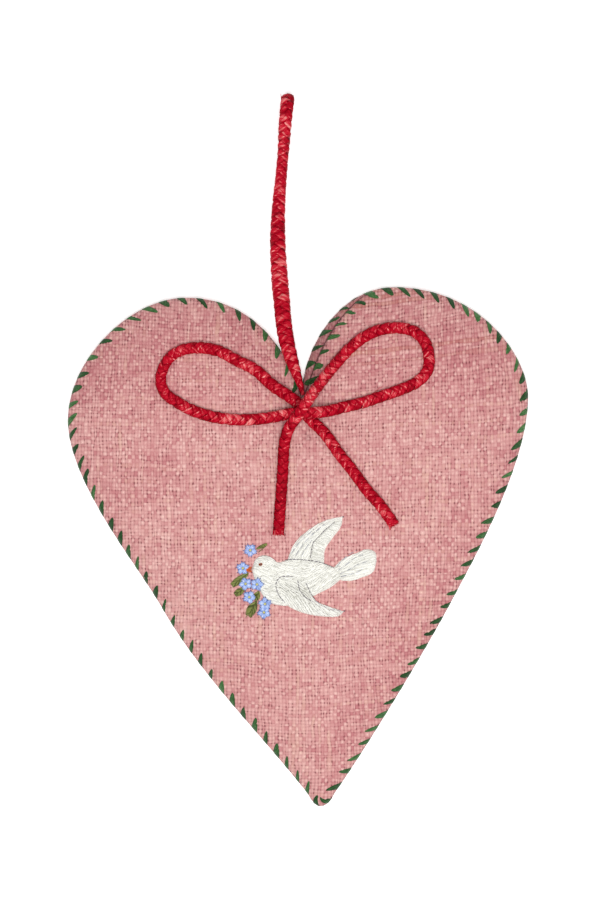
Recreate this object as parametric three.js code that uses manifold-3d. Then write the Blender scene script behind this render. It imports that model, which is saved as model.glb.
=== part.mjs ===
// Padded heart ornament of woven raffia: two cloth panels sewn together round the edge with flat
// green stitches, a plaited hanging loop, a plaited bow laid on the front, and an embroidered dove
// carrying forget-me-nots.
//
// Millimetres, +Z up. The heart lies on its flat back: +X is its right as you look at the front,
// +Y runs from the tip to the lobes, +Z comes out of the front. The origin is on the back, in the
// middle of the heart's width and height.
import * as THREE from 'three';
import { mergeVertices } from 'three/addons/utils/BufferGeometryUtils.js';
import Module from 'manifold-3d';

const wasm = await Module();
wasm.setup();

// Heart, seen from the front
const HEART_WIDTH = 150;
const HEART_HEIGHT = 169.2;
const NOTCH_DEPTH = 35.5; // from the right lobe's top down to the notch
const NOTCH_SHIFT = 1.3; // notch to the right of the middle
const LOBE_DROP = 3.4; // left lobe's top below the right one's
const TIP_SHIFT = 7.5; // tip to the right of the middle
const TIP_BLUNT = 4.4; // half width of the blunt tip
const TIP_LENGTH = 4.2; // from where the tip starts to round, down to its end

// Padding
const SEAM_HEIGHT = 4.5; // seam above the flat back
const CROWN_HEIGHT = 9.5; // rise of the front above the seam
const CROWN_REACH = 38; // distance in from the seam at which the front is level
const CROWN_ROUNDNESS = 0.6; // under 1 makes the shoulder along the seam fuller
const RIM_HEIGHT = 3.4; // height of the widest line of the back panel
const KNEE_INSET = 1.0; // back panel's rounded lower corner
const KNEE_HEIGHT = 1.4;
const FOOT_INSET = 3.0; // where the back panel turns flat
const PANEL_GAP = 0.3; // between the two panels along the seam

// Beside the notch, the right lobe's seam rolls on to the front and shows a band of the back panel
const ROLL_WIDTH = 3.0;
const ROLL_LENGTH = 42;
const ROLL_RISE = 1.6; // extra height of the seam there
const ROLL_FADE = 10; // how far in this height dies away
const ROLL_FULLNESS = 0.7; // under 1 makes the band wide for most of its length

// Edge stitching: flat raffia slanting over the edge
const STITCH_PITCH = 5.4;
const STITCH_WIDTH = 1.8;
const STITCH_REACH = 2.8; // how far in from the seam a stitch goes on the front
const STITCH_SLANT = 2.9; // how far its inner end lies clockwise of its outer end
const STITCH_BEND = { shift: 0.4, depth: 0.45, width: 0.8 }; // halfway in, as shares of slant, reach, width
const TIP_REACH = 1.6; // reach of the stitch at the blunt tip
const TIP_REACH_GROWTH = 0.6; // extra reach for each millimetre along the outline from there
const STITCH_THICKNESS = 0.5;
const STITCH_CLEARANCE = 0.35;
const STITCH_BACK_REACH = 1.4; // how far in a stitch goes under the back
const STITCH_BACK_HEIGHT = 0.5; // height of that inner end above the ground
const NOTCH_MARGIN = 6; // bare edge on each side of the notch
const THREAD_HEIGHT = 1.0; // thread along the seam that the stitches hold
const THREAD_CORNERS = [-0.8, -0.6, -0.4]; // its extra corners at the tip, as shares of the pitch

// Plaited cord, a flat three-strand plait 3.9 wide and 3.0 thick, as a tube of like size
const PLAIT_DIAMETER = 3.4;
const TUBE_SIDES = 8;
const TUBE_STEP = 6.8; // two diameters

// Embroidery
const DOVE_LENGTH = 40.3; // breast to tail
const DOVE_PLACE = [0.7, -9.1];
const SATIN_LIFT = 0.3; // clearance between the embroidery and the cloth
const SATIN_EDGE = 0.35; // thickness of satin stitch at its edge
const BODY_RISE = 0.9; // padding of the stitched areas above that edge
const WING_RISE = 0.6;
const NEAR_WING_RISE = 1.1;
const FAR_WING_LIFT = 0.4; // undersides of the areas that are stitched over the body
const TAIL_LIFT = 0.45;
const NEAR_WING_LIFT = 0.55;
const SATIN_FULLNESS = 0.8; // under 1 makes an area's middle fuller
const EYE_RADIUS = 0.7;
const BEAK_LENGTH = 2.4;
const BEAK_WIDTH = 1.6;
const BEAK_DROOP = 0.4;
const BEAK_THICKNESS = 0.3;
const BEAK_RISE = 0.4;
const FLOWER_RADIUS = 2.25;
const FLOWER_NOTCH = 0.62; // radius between petals, as a share of the petals' radius
const PETALS = 5;
const PETAL_CORNERS = [0, 0.8, 2.2]; // notch and the petal's two corners, as thirds of a petal
const FLOWER_THICKNESS = 0.45;
const FLOWER_RISE = 0.35;
const KNOT_RADIUS = 0.55;
const LEAF_THICKNESS = 0.25;
const LEAF_RISE = 0.2;
const TRIM_CLEARANCE = 0.25; // between neighbouring pieces of trim
const CUTTER_HEIGHT = 4; // of the prisms that cut neighbouring flowers apart

// Steps of the faceted surfaces
const PANEL_STEP = 5.4; // along the outline
const TIP_STEP = 2.2; // round the blunt tip
const FRONT_DEPTHS = [0, 1.2, 3.5, 8, 15]; // rings of the front, in from the seam
const FRONT_SHARES = [0.28, 0.52, 0.76]; // further rings, as shares of the way to the middle
const MIDDLE_SHIFT = 4; // where those rings meet, to the right of the notch
const MIDDLE_DROP = 27; // and below it
const LEAST_FACING = 0.35; // limits the slide towards the middle where the outline runs along it
const RIM_PROBE = 0.4; // the outline's direction is read over twice this length
const WELD = 1e-4;

const HALF_WIDTH = HEART_WIDTH / 2;
const HALF_HEIGHT = HEART_HEIGHT / 2;
const MIDDLE = new THREE.Vector2(NOTCH_SHIFT + MIDDLE_SHIFT, HALF_HEIGHT - NOTCH_DEPTH - MIDDLE_DROP);

// Outline

// A point on the outline, with handles as shares of the heart's half width and half height
function node(x, y, before, after) {
  const handle = ([dx, dy]) => new THREE.Vector2(x + dx * HALF_WIDTH, y + dy * HALF_HEIGHT);
  return { at: new THREE.Vector2(x, y), before: handle(before), after: handle(after) };
}

// Anticlockwise from the notch: left lobe, left side, tip, right side, right lobe
function outlineCurves() {
  const notch = node(NOTCH_SHIFT, HALF_HEIGHT - NOTCH_DEPTH, [0, 0.177], [-0.072, 0.2]);
  const leftTop = node(-0.485 * HALF_WIDTH, HALF_HEIGHT - LOBE_DROP, [0.272, 0], [-0.251, 0]);
  const leftWide = node(-HALF_WIDTH, 0.488 * HALF_HEIGHT, [0, 0.227], [0, -0.236]);
  const leftSide = node(-0.597 * HALF_WIDTH, -0.226 * HALF_HEIGHT, [-0.096, 0.15], [0.172, -0.27]);
  const tipTop = TIP_LENGTH - HALF_HEIGHT;
  const tipLeft = node(TIP_SHIFT - TIP_BLUNT, tipTop, [-0.201, 0.229], [0, 0]);
  const tipRight = node(TIP_SHIFT + TIP_BLUNT, tipTop, [0, 0], [0.182, 0.235]);
  const rightSide = node(0.671 * HALF_WIDTH, -0.203 * HALF_HEIGHT, [-0.097, -0.163], [0.107, 0.179]);
  const rightWide = node(HALF_WIDTH, 0.577 * HALF_HEIGHT, [0, -0.25], [0, 0.157]);
  const rightTop = node(0.416 * HALF_WIDTH, HALF_HEIGHT, [0.377, 0], [-0.241, 0]);
  const cubic = (a, b) => new THREE.CubicBezierCurve(a.at, a.after, b.before, b.at);
  const tipEnd = new THREE.Vector2(TIP_SHIFT, tipTop - 2 * TIP_LENGTH);
  return [
    cubic(notch, leftTop),
    cubic(leftTop, leftWide),
    cubic(leftWide, leftSide),
    cubic(leftSide, tipLeft),
    new THREE.QuadraticBezierCurve(tipLeft.at, tipEnd, tipRight.at),
    cubic(tipRight, rightSide),
    cubic(rightSide, rightWide),
    cubic(rightWide, rightTop),
    cubic(rightTop, notch),
  ];
}

const curves = outlineCurves();
const tipIndex = curves.findIndex((curve) => curve.isQuadraticBezierCurve);
const outlinePath = new THREE.CurvePath();
curves.forEach((curve) => outlinePath.add(curve));
const OUTLINE_LENGTH = outlinePath.getLength();
const curveEnds = outlinePath.getCurveLengths();

// Place on the outline at a distance from the notch, and the direction into the heart there
function rimAt(distance) {
  const share = (d) => THREE.MathUtils.clamp(d / OUTLINE_LENGTH, 0, 1);
  const from = outlinePath.getPoint(share(distance - RIM_PROBE));
  const to = outlinePath.getPoint(share(distance + RIM_PROBE));
  const along = to.sub(from).normalize();
  return { at: outlinePath.getPoint(share(distance)), inward: new THREE.Vector2(-along.y, along.x) };
}

function rollAt(distance) {
  const part = (OUTLINE_LENGTH - distance) / ROLL_LENGTH;
  return part < 0 || part > 1 ? 0 : ROLL_WIDTH * Math.sin(Math.PI * part) ** ROLL_FULLNESS;
}

// Stations round the outline, one for each corner of the panels
const stations = curves.flatMap((curve, i) => {
  const start = i ? curveEnds[i - 1] : 0;
  const step = i === tipIndex ? TIP_STEP : PANEL_STEP;
  const count = Math.ceil(curve.getLength() / step);
  return Array.from({ length: count }, (_, k) => start + (k / count) * curve.getLength());
}).map((distance) => {
  const { at, inward } = rimAt(distance);
  const roll = rollAt(distance);
  const rise = (ROLL_RISE * roll) / ROLL_WIDTH;
  return { at, inward, roll, rise };
});

// Slides a station towards the middle until it is a depth inside the outline
function drawnIn(station, depth) {
  const toMiddle = MIDDLE.clone().sub(station.at).normalize();
  const facing = Math.max(toMiddle.dot(station.inward), LEAST_FACING);
  return station.at.clone().addScaledVector(toMiddle, depth / facing);
}

const seamLine = stations.map((station) => drawnIn(station, station.roll));

// Distance in from the seam, and the seam's extra height at its nearest point
function seamNear(point) {
  let best = { distance: Infinity, rise: 0 };
  seamLine.forEach((a, i) => {
    const j = (i + 1) % seamLine.length;
    const side = seamLine[j].clone().sub(a);
    const offset = point.clone().sub(a);
    const t = THREE.MathUtils.clamp(offset.dot(side) / side.lengthSq(), 0, 1);
    const distance = offset.addScaledVector(side, -t).length();
    if (distance < best.distance) {
      best = { distance, rise: THREE.MathUtils.lerp(stations[i].rise, stations[j].rise, t) };
    }
  });
  return best;
}

// Height of the padded front over a point inside the seam
function frontHeight(point) {
  const { distance, rise } = seamNear(point);
  const short = 1 - Math.min(distance / CROWN_REACH, 1);
  const crown = CROWN_HEIGHT * (1 - short * short) ** CROWN_ROUNDNESS;
  return SEAM_HEIGHT + PANEL_GAP / 2 + rise * Math.exp(-distance / ROLL_FADE) + crown;
}

// Solids

function solidGeometry(points, triangles) {
  const loose = new THREE.BufferGeometry();
  const flat = triangles.flatMap((corners) => corners.flatMap((i) => points[i].toArray()));
  loose.setAttribute('position', new THREE.Float32BufferAttribute(flat, 3));
  const merged = mergeVertices(loose, 1e-4);
  const index = Array.from(merged.index.array);
  const kept = [];
  for (let i = 0; i < index.length; i += 3) {
    const [a, b, c] = index.slice(i, i + 3);
    if (a !== b && b !== c && c !== a) kept.push(a, b, c);
  }
  merged.setIndex(kept);
  return merged;
}

function manifoldOf(geometry) {
  const vertProperties = new Float32Array(geometry.attributes.position.array);
  const triVerts = new Uint32Array(geometry.index.array);
  return new wasm.Manifold(new wasm.Mesh({ numProp: 3, vertProperties, triVerts }));
}

function geometryOf(manifold) {
  const { vertProperties, triVerts } = manifold.getMesh();
  const geometry = new THREE.BufferGeometry();
  geometry.setAttribute('position', new THREE.BufferAttribute(vertProperties, 3));
  geometry.setIndex(Array.from(triVerts));
  return geometry;
}

const lifted = (flat, z) => new THREE.Vector3(flat.x, flat.y, z);

// Bands of triangles between rings of like count, each ring one step further along the surface
function ringBands(rings, flip) {
  const count = rings[0].length;
  const triangles = [];
  for (let k = 0; k + 1 < rings.length; k += 1) {
    for (let i = 0; i < count; i += 1) {
      const j = (i + 1) % count;
      const [a, b, c, d] = [k * count + i, k * count + j, (k + 1) * count + j, (k + 1) * count + i];
      triangles.push([a, b, c], [a, c, d]);
    }
  }
  return flip ? triangles.map(([a, b, c]) => [a, c, b]) : triangles;
}

const capOf = (ring, first, up) => {
  const faces = THREE.ShapeUtils.triangulateShape(ring.map((p) => new THREE.Vector2(p.x, p.y)), []);
  return faces.map(([a, b, c]) => (up ? [a, b, c] : [a, c, b]).map((i) => i + first));
};

// Front cloth with its share of the padding: crowned on top, level along the seam below
function frontPanel() {
  const rings = FRONT_DEPTHS.map((depth) => stations.map((station) => {
    const flat = drawnIn(station, station.roll + depth);
    return lifted(flat, depth ? frontHeight(flat) : SEAM_HEIGHT + PANEL_GAP / 2 + station.rise);
  }));
  const last = rings[rings.length - 1];
  FRONT_SHARES.forEach((share) => rings.push(last.map((p) => {
    const flat = new THREE.Vector2(p.x, p.y).lerp(MIDDLE, share);
    return lifted(flat, frontHeight(flat));
  })));
  const count = stations.length;
  const points = [...rings.flat(), lifted(MIDDLE, frontHeight(MIDDLE))];
  const innermost = (rings.length - 1) * count;
  const fan = stations.map((_, i) => [innermost + i, innermost + ((i + 1) % count), points.length - 1]);
  return solidGeometry(points, [...ringBands(rings, false), ...fan, ...capOf(rings[0], 0, false)]);
}

// Back cloth with its share of the padding: level along the seam, flat where it rests
function backPanel() {
  const rings = [
    stations.map((s, i) => lifted(seamLine[i], SEAM_HEIGHT - PANEL_GAP / 2 + s.rise)),
    stations.map((s) => lifted(s.at, RIM_HEIGHT)),
    stations.map((s) => lifted(drawnIn(s, KNEE_INSET), KNEE_HEIGHT)),
    stations.map((s) => lifted(drawnIn(s, FOOT_INSET), 0)),
  ];
  const lowest = (rings.length - 1) * stations.length;
  const caps = [...capOf(rings[0], 0, true), ...capOf(rings[rings.length - 1], lowest, false)];
  return solidGeometry(rings.flat(), [...ringBands(rings, true), ...caps]);
}

// Edge stitching: a thread along the rim with a flat stitch slanting over it at every pitch

const STITCH_COUNT = Math.floor((OUTLINE_LENGTH - 2 * NOTCH_MARGIN) / STITCH_PITCH);
const STITCH_START = (OUTLINE_LENGTH - (STITCH_COUNT - 1) * STITCH_PITCH) / 2;
const TIP_PLACE = curveEnds[tipIndex] - curves[tipIndex].getLength() / 2;

// Four corners of the thread's section: outer low, inner low, inner high, outer high
function threadSection(distance) {
  const { at, inward } = rimAt(distance);
  const inner = at.clone().addScaledVector(inward, -STITCH_CLEARANCE);
  const outer = at.clone().addScaledVector(inward, -STITCH_CLEARANCE - STITCH_THICKNESS);
  const [low, high] = [SEAM_HEIGHT - THREAD_HEIGHT / 2, SEAM_HEIGHT + THREAD_HEIGHT / 2];
  return [lifted(outer, low), lifted(inner, low), lifted(inner, high), lifted(outer, high)];
}

// Stitch's section across its width at a depth inside the outline: near side first, then far side
function stitchSection(centre, depth, width, low) {
  const side = (distance) => {
    const { at, inward } = rimAt(distance);
    const flat = at.clone().addScaledVector(inward, depth);
    const ground = low(flat);
    return [lifted(flat, ground), lifted(flat, ground + STITCH_THICKNESS)];
  };
  return [side(centre - width / 2), side(centre + width / 2)];
}

function edgeStitching() {
  const points = [];
  const triangles = [];
  const add = (p) => points.push(p) - 1;
  const quad = (a, b, c, d) => triangles.push([a, b, c], [a, c, d]);
  const halfWidth = STITCH_WIDTH / 2;
  let previous = null;
  const joinTo = (section, bare) => {
    if (!previous) {
      quad(section[3], section[2], section[1], section[0]);
      return;
    }
    const [p, s] = [previous, section];
    quad(p[0], s[0], s[3], p[3]);
    quad(p[1], p[2], s[2], s[1]);
    if (bare) {
      quad(p[2], p[3], s[3], s[2]);
      quad(p[0], p[1], s[1], s[0]);
    }
  };
  for (let k = 0; k < STITCH_COUNT; k += 1) {
    const centre = STITCH_START + k * STITCH_PITCH;
    const nearTip = Math.abs(centre - TIP_PLACE) < 2 * STITCH_PITCH;
    const corners = k && nearTip ? THREAD_CORNERS : [];
    corners.forEach((share) => {
      const section = threadSection(centre + share * STITCH_PITCH).map(add);
      joinTo(section, true);
      previous = section;
    });
    const start = threadSection(centre - halfWidth).map(add);
    joinTo(start, true);
    previous = start;
    const end = threadSection(centre + halfWidth).map(add);
    joinTo(end, false);
    previous = end;
    frontOfStitch(centre, start, end);
    backOfStitch(centre, start, end);
  }
  quad(previous[0], previous[1], previous[2], previous[3]);
  return solidGeometry(points, triangles);

  // Over the edge on to the front, ending in a point clockwise of where it started
  function frontOfStitch(centre, start, end) {
    const roll = rollAt(centre);
    const reach = Math.min(STITCH_REACH, TIP_REACH_GROWTH * Math.abs(centre - TIP_PLACE) + TIP_REACH);
    const over = (flat) => frontHeight(flat) + STITCH_CLEARANCE;
    const bendAt = centre - STITCH_BEND.shift * STITCH_SLANT;
    const bendWidth = STITCH_BEND.width * STITCH_WIDTH;
    const [near, far] = stitchSection(bendAt, roll + STITCH_BEND.depth * reach, bendWidth, over);
    const [nearLow, nearHigh, farLow, farHigh] = [...near, ...far].map(add);
    quad(end[2], start[2], nearLow, farLow);
    quad(start[3], end[3], farHigh, nearHigh);
    quad(start[2], start[3], nearHigh, nearLow);
    quad(end[3], end[2], farLow, farHigh);
    const { at, inward } = rimAt(centre - STITCH_SLANT);
    const flat = at.clone().addScaledVector(inward, roll + reach);
    const tip = add(lifted(flat, over(flat)));
    triangles.push([farLow, nearLow, tip], [nearHigh, farHigh, tip]);
    triangles.push([nearLow, nearHigh, tip], [farHigh, farLow, tip]);
  }

  // Under the edge to the back
  function backOfStitch(centre, start, end) {
    const sideHeight = (SEAM_HEIGHT - THREAD_HEIGHT / 2 + KNEE_HEIGHT) / 2;
    const wall = (distance, depth) => {
      const { at, inward } = rimAt(distance);
      return add(lifted(at.clone().addScaledVector(inward, depth), sideHeight));
    };
    const [inner, outer] = [-STITCH_CLEARANCE, -STITCH_CLEARANCE - STITCH_THICKNESS];
    const nearIn = wall(centre - halfWidth, inner);
    const nearOut = wall(centre - halfWidth, outer);
    const farIn = wall(centre + halfWidth, inner);
    const farOut = wall(centre + halfWidth, outer);
    quad(start[0], nearOut, farOut, end[0]);
    quad(start[1], end[1], farIn, nearIn);
    quad(start[0], start[1], nearIn, nearOut);
    quad(end[1], end[0], farOut, farIn);
    const { at, inward } = rimAt(centre);
    const tip = add(lifted(at.clone().addScaledVector(inward, STITCH_BACK_REACH), STITCH_BACK_HEIGHT));
    triangles.push([nearOut, nearIn, tip], [farIn, farOut, tip]);
    triangles.push([farOut, nearOut, tip], [nearIn, farIn, tip]);
  }
}

// Cords

// Hanging loop: up from the notch, over its small eye, and back along the ground under itself
const LOOP_ROUTE = [
  [0.9, 52.2, 7.4],
  [-0.6, 56.6, 7.5],
  [-2.2, 61.4, 7.5],
  [-3.6, 66.6, 7.3],
  [-4.6, 72.6, 6.5],
  [-5.3, 80.0, 5.8],
  [-6.2, 90.5, 5.7],
  [-6.6, 101.5, 5.7],
  [-6.2, 112.5, 5.7],
  [-5.5, 120.5, 5.8],
  [-5.0, 126.0, 6.8],
  [-4.6, 130.5, 9.8],
  [-4.3, 135.0, 12.9],
  [-3.9, 140.0, 13.9],
  [-3.5, 144.2, 12.1],
  [-3.3, 146.0, 7.9],
  [-3.5, 144.2, 3.7],
  [-3.9, 140.0, 1.9],
  [-4.6, 131.0, 1.9],
  [-5.6, 120.5, 1.9],
  [-6.4, 109.5, 1.9],
  [-6.7, 98.5, 1.9],
  [-6.3, 88.0, 1.9],
  [-5.7, 79.0, 1.9],
  [-5.1, 72.0, 2.4],
  [-4.5, 66.5, 3.3],
];

// Bow: one cord from the right tail round the left loop, across, round the right loop to the left tail
const BOW_ROUTE = [
  [31.1, 7.4, 15.9],
  [26.5, 13.8, 16.2],
  [22.4, 18.4, 16.3],
  [17.7, 24.8, 16.1],
  [13.1, 30.6, 15.3],
  [8.9, 36.6, 14.1],
  [4.0, 41.6, 12.1],
  [-0.5, 47.1, 11.2],
  [-8.1, 52.4, 11.9],
  [-14.0, 57.6, 12.8],
  [-19.7, 60.5, 13.4],
  [-25.5, 63.5, 13.8],
  [-31.3, 64.6, 14.0],
  [-37.1, 64.0, 14.2],
  [-41.2, 61.7, 14.4],
  [-43.5, 58.2, 14.7],
  [-44.4, 54.1, 15.0],
  [-43.0, 50.0, 15.5],
  [-38.9, 46.9, 16.1],
  [-33.1, 43.9, 16.2],
  [-25.5, 41.9, 15.8],
  [-16.8, 41.3, 15.1],
  [-8.1, 42.2, 14.4],
  [-2.3, 43.3, 15.1],
  [4.0, 43.6, 15.9],
  [9.0, 44.0, 14.9],
  [14.8, 45.4, 14.1],
  [20.7, 46.8, 14.9],
  [26.4, 48.7, 15.5],
  [32.2, 50.7, 15.9],
  [38.1, 53.3, 16.0],
  [41.6, 56.8, 15.4],
  [42.4, 60.8, 14.8],
  [41.3, 66.0, 14.3],
  [38.1, 69.6, 13.9],
  [33.4, 71.0, 13.6],
  [27.6, 70.7, 13.5],
  [21.8, 68.4, 13.1],
  [16.6, 64.3, 12.7],
  [11.9, 59.1, 12.6],
  [7.3, 53.4, 15.0],
  [3.2, 47.5, 18.5],
  [0.0, 42.8, 19.1],
  [-2.9, 38.6, 17.5],
  [-4.4, 33.6, 15.3],
  [-4.8, 27.6, 15.6],
  [-5.2, 20.4, 16.1],
  [-5.8, 12.6, 16.3],
  [-6.3, 4.4, 16.3],
];

function tubeSection() {
  const shape = new THREE.Shape();
  for (let i = 0; i < TUBE_SIDES; i += 1) {
    const angle = (2 * Math.PI * i) / TUBE_SIDES;
    const [x, y] = [Math.cos(angle), Math.sin(angle)].map((c) => (c * PLAIT_DIAMETER) / 2);
    if (i) shape.lineTo(x, y);
    else shape.moveTo(x, y);
  }
  return shape;
}

function cordTube(route) {
  const path = new THREE.CatmullRomCurve3(route.map((p) => new THREE.Vector3(...p)), false, 'centripetal');
  const steps = Math.round(path.getLength() / TUBE_STEP);
  const tube = new THREE.ExtrudeGeometry(tubeSection(), { steps, bevelEnabled: false, extrudePath: path });
  tube.deleteAttribute('normal');
  tube.deleteAttribute('uv');
  const merged = mergeVertices(tube, 1e-4);
  merged.clearGroups();
  return merged;
}

// Embroidery

// Padded area of satin stitch between two edges that share their ends, lying on the front
function satinArea(edgeA, edgeB, { along, across, lift, edge, rise }) {
  const sample = (edgePoints) => new THREE.SplineCurve(edgePoints).getSpacedPoints(along);
  const [a, b] = [sample(edgeA), sample(edgeB)];
  const layers = [[], []];
  for (let i = 0; i <= along; i += 1) {
    for (let j = 0; j <= across; j += 1) {
      const flat = a[i].clone().lerp(b[i], j / across);
      const ground = frontHeight(flat) + lift;
      const [lengthways, crossways] = [Math.sin((Math.PI * i) / along), Math.sin((Math.PI * j) / across)];
      const dome = Math.sqrt(lengthways) * crossways ** SATIN_FULLNESS;
      layers[0].push(lifted(flat, ground));
      layers[1].push(lifted(flat, ground + edge + rise * (dome || 0)));
    }
  }
  const row = across + 1;
  const size = row * (along + 1);
  const triangles = [];
  const quad = (p, q, r, s) => triangles.push([p, q, r], [p, r, s]);
  for (let i = 0; i < along; i += 1) {
    for (let j = 0; j < across; j += 1) {
      const p = i * row + j;
      quad(p, p + 1, p + row + 1, p + row);
      quad(size + p, size + p + row, size + p + row + 1, size + p + 1);
    }
    const [p, q] = [i * row, i * row + across];
    quad(p, p + row, size + p + row, size + p);
    quad(q, size + q, size + q + row, q + row);
  }
  const wall = (p) => quad(p, size + p, size + p + 1, p + 1);
  const endWall = (p) => quad(p, p + 1, size + p + 1, size + p);
  for (let j = 0; j < across; j += 1) {
    wall(j);
    endWall(along * row + j);
  }
  const geometry = solidGeometry([...layers[0], ...layers[1]], triangles);
  return manifoldOf(turnedOut(geometry));
}

// Turns all faces the other way when a closed shape came out inside out
function turnedOut(geometry) {
  const position = geometry.attributes.position;
  const index = geometry.index.array;
  const corner = (i) => new THREE.Vector3().fromBufferAttribute(position, index[i]);
  let volume = 0;
  for (let i = 0; i < index.length; i += 3) {
    volume += corner(i).dot(corner(i + 1).cross(corner(i + 2)));
  }
  if (volume < 0) {
    const flipped = Array.from(index);
    for (let i = 0; i < flipped.length; i += 3) {
      [flipped[i + 1], flipped[i + 2]] = [flipped[i + 2], flipped[i + 1]];
    }
    geometry.setIndex(flipped);
  }
  return geometry;
}

// Places on the dove, as hundredths of its length from its middle
const onDove = ([x, y]) => new THREE.Vector2(x, y)
  .multiplyScalar(DOVE_LENGTH / 100)
  .add(new THREE.Vector2(...DOVE_PLACE));
const doveEdge = (points) => points.map(onDove);

const BODY_TOP = [
  [-38.7, 5.5], [-36, 13], [-29.8, 16.5], [-22.6, 14.5], [-18, 10.8], [-11.3, 12.5],
  [0, 13], [15.3, 10.9], [27, 6.8], [35, -0.8],
];
const BODY_BASE = [
  [-38.7, 5.5], [-37.5, 0], [-33.5, -9.7], [-25.8, -20.6], [-13.7, -24], [0, -21],
  [13.4, -14.8], [25, -8.9], [35, -0.8],
];
const TAIL_TOP = [[22, 1], [33.5, 13], [44.5, 18], [54.5, 21.4], [60.5, 18.5], [61.3, 11.5]];
const TAIL_BASE = [[22, 1], [35, -4], [47.5, -2], [58.5, 3], [61.3, 11.5]];
const NEAR_WING_BASE = [[-19, -6.5], [-17, -15], [-10.5, -23.5], [1.6, -29.5], [15.5, -32.3], [31, -32.3], [35, -28.6]];
const NEAR_WING_TOP = [[-19, -6.5], [-10.5, -3.5], [-1, -4], [6, -9], [12.5, -19.8], [23, -24.5], [35, -28.6]];
const FAR_WING_FRONT = [[-11.5, 9], [-5, 25.3], [5.6, 36], [20, 44.4], [34, 47.7]];
const FAR_WING_BACK = [[-11.5, 9], [4, 6.5], [18, 7.5], [20, 21], [26, 30.2], [33, 40], [34, 47.7]];

const satin = (lift, rise, along, across) => ({ along, across, lift, edge: SATIN_EDGE, rise });

function doveSolid() {
  const body = satinArea(doveEdge(BODY_TOP), doveEdge(BODY_BASE), satin(SATIN_LIFT, BODY_RISE, 14, 4));
  const tail = satinArea(doveEdge(TAIL_TOP), doveEdge(TAIL_BASE), satin(TAIL_LIFT, WING_RISE, 8, 2));
  const farWing = satinArea(
    doveEdge(FAR_WING_FRONT),
    doveEdge(FAR_WING_BACK),
    satin(FAR_WING_LIFT, WING_RISE, 9, 2),
  );
  const nearWing = satinArea(
    doveEdge(NEAR_WING_BASE),
    doveEdge(NEAR_WING_TOP),
    satin(NEAR_WING_LIFT, NEAR_WING_RISE, 9, 2),
  );
  return body.add(tail).add(farWing).add(nearWing);
}

const dove = doveSolid();

// A flat polygon raised on the front as a prism, with a rounded top
function raised(outline, centre, { lift, thickness, rise }) {
  const ground = frontHeight(centre) + lift;
  const count = outline.length;
  const points = [
    ...outline.map((p) => lifted(p, ground)),
    ...outline.map((p) => lifted(p, ground + thickness)),
    lifted(centre, ground + thickness + rise),
  ];
  const wall = ringBands([points.slice(0, count), points.slice(count, 2 * count)], false);
  const fan = outline.map((_, i) => [count + i, count + ((i + 1) % count), 2 * count]);
  return solidGeometry(points, [...wall, ...fan, ...capOf(outline, 0, false)]);
}

function flowerOutline(centre, turn, radius) {
  const petal = (2 * Math.PI) / PETALS;
  return Array.from({ length: PETALS }, (_, k) => PETAL_CORNERS.map((thirds) => {
    const angle = turn + petal * (k + thirds / 3);
    const reach = thirds ? radius : radius * FLOWER_NOTCH;
    return new THREE.Vector2(centre.x + reach * Math.cos(angle), centre.y + reach * Math.sin(angle));
  })).flat();
}

// Keeps only a piece's main body after its neighbours are cut away
function mainBody(manifold) {
  const bodies = manifold.decompose();
  return bodies.reduce((best, body) => (body.volume() > best.volume() ? body : best));
}

// Flowers in front of the breast, from top to bottom, as hundredths of the dove's length
const FLOWERS = [
  { at: [-40, 20.5], turn: 0.3 },
  { at: [-46, 6], turn: 0.9 },
  { at: [-43.8, -6.5], turn: 0.1 },
  { at: [-34.6, -6.9], turn: 0.7 },
  { at: [-40.8, -17.2], turn: 0.5 },
  { at: [-28.2, -22.6], turn: 1.0 },
  { at: [-29.1, -29.4], turn: 0.2 },
];
const FLOWER_LIFT = SATIN_LIFT + LEAF_THICKNESS + LEAF_RISE + TRIM_CLEARANCE;

function flowerSolids() {
  const whole = { lift: FLOWER_LIFT, thickness: FLOWER_THICKNESS, rise: FLOWER_RISE };
  const tall = { lift: 0, thickness: CUTTER_HEIGHT, rise: 0 };
  const centres = FLOWERS.map(({ at }) => onDove(at));
  const breast = satinArea(
    doveEdge(BODY_TOP).map((p) => p.add(new THREE.Vector2(-TRIM_CLEARANCE, TRIM_CLEARANCE))),
    doveEdge(BODY_BASE).map((p) => p.add(new THREE.Vector2(-TRIM_CLEARANCE, -TRIM_CLEARANCE))),
    { along: 14, across: 4, lift: 0, edge: CUTTER_HEIGHT, rise: 0 },
  );
  const cutters = centres.map((centre, i) => (
    manifoldOf(raised(flowerOutline(centre, FLOWERS[i].turn, FLOWER_RADIUS + TRIM_CLEARANCE), centre, tall))
  ));
  return centres.map((centre, i) => {
    const flower = manifoldOf(raised(flowerOutline(centre, FLOWERS[i].turn, FLOWER_RADIUS), centre, whole));
    const nearer = cutters.slice(i + 1).reduce((rest, cutter) => rest.subtract(cutter), flower);
    return mainBody(nearer.subtract(breast));
  });
}

function knot(place, radius, lift) {
  const ball = new THREE.SphereGeometry(radius, 6, 3);
  ball.rotateX(Math.PI / 2);
  ball.deleteAttribute('normal');
  ball.deleteAttribute('uv');
  ball.translate(place.x, place.y, frontHeight(place) + lift + radius);
  const merged = mergeVertices(ball, 1e-4);
  const index = Array.from(merged.index.array);
  const kept = index.filter((_, i) => {
    const [a, b, c] = index.slice(i - (i % 3), i - (i % 3) + 3);
    return a !== b && b !== c && c !== a;
  });
  merged.setIndex(kept);
  return merged;
}

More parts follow.
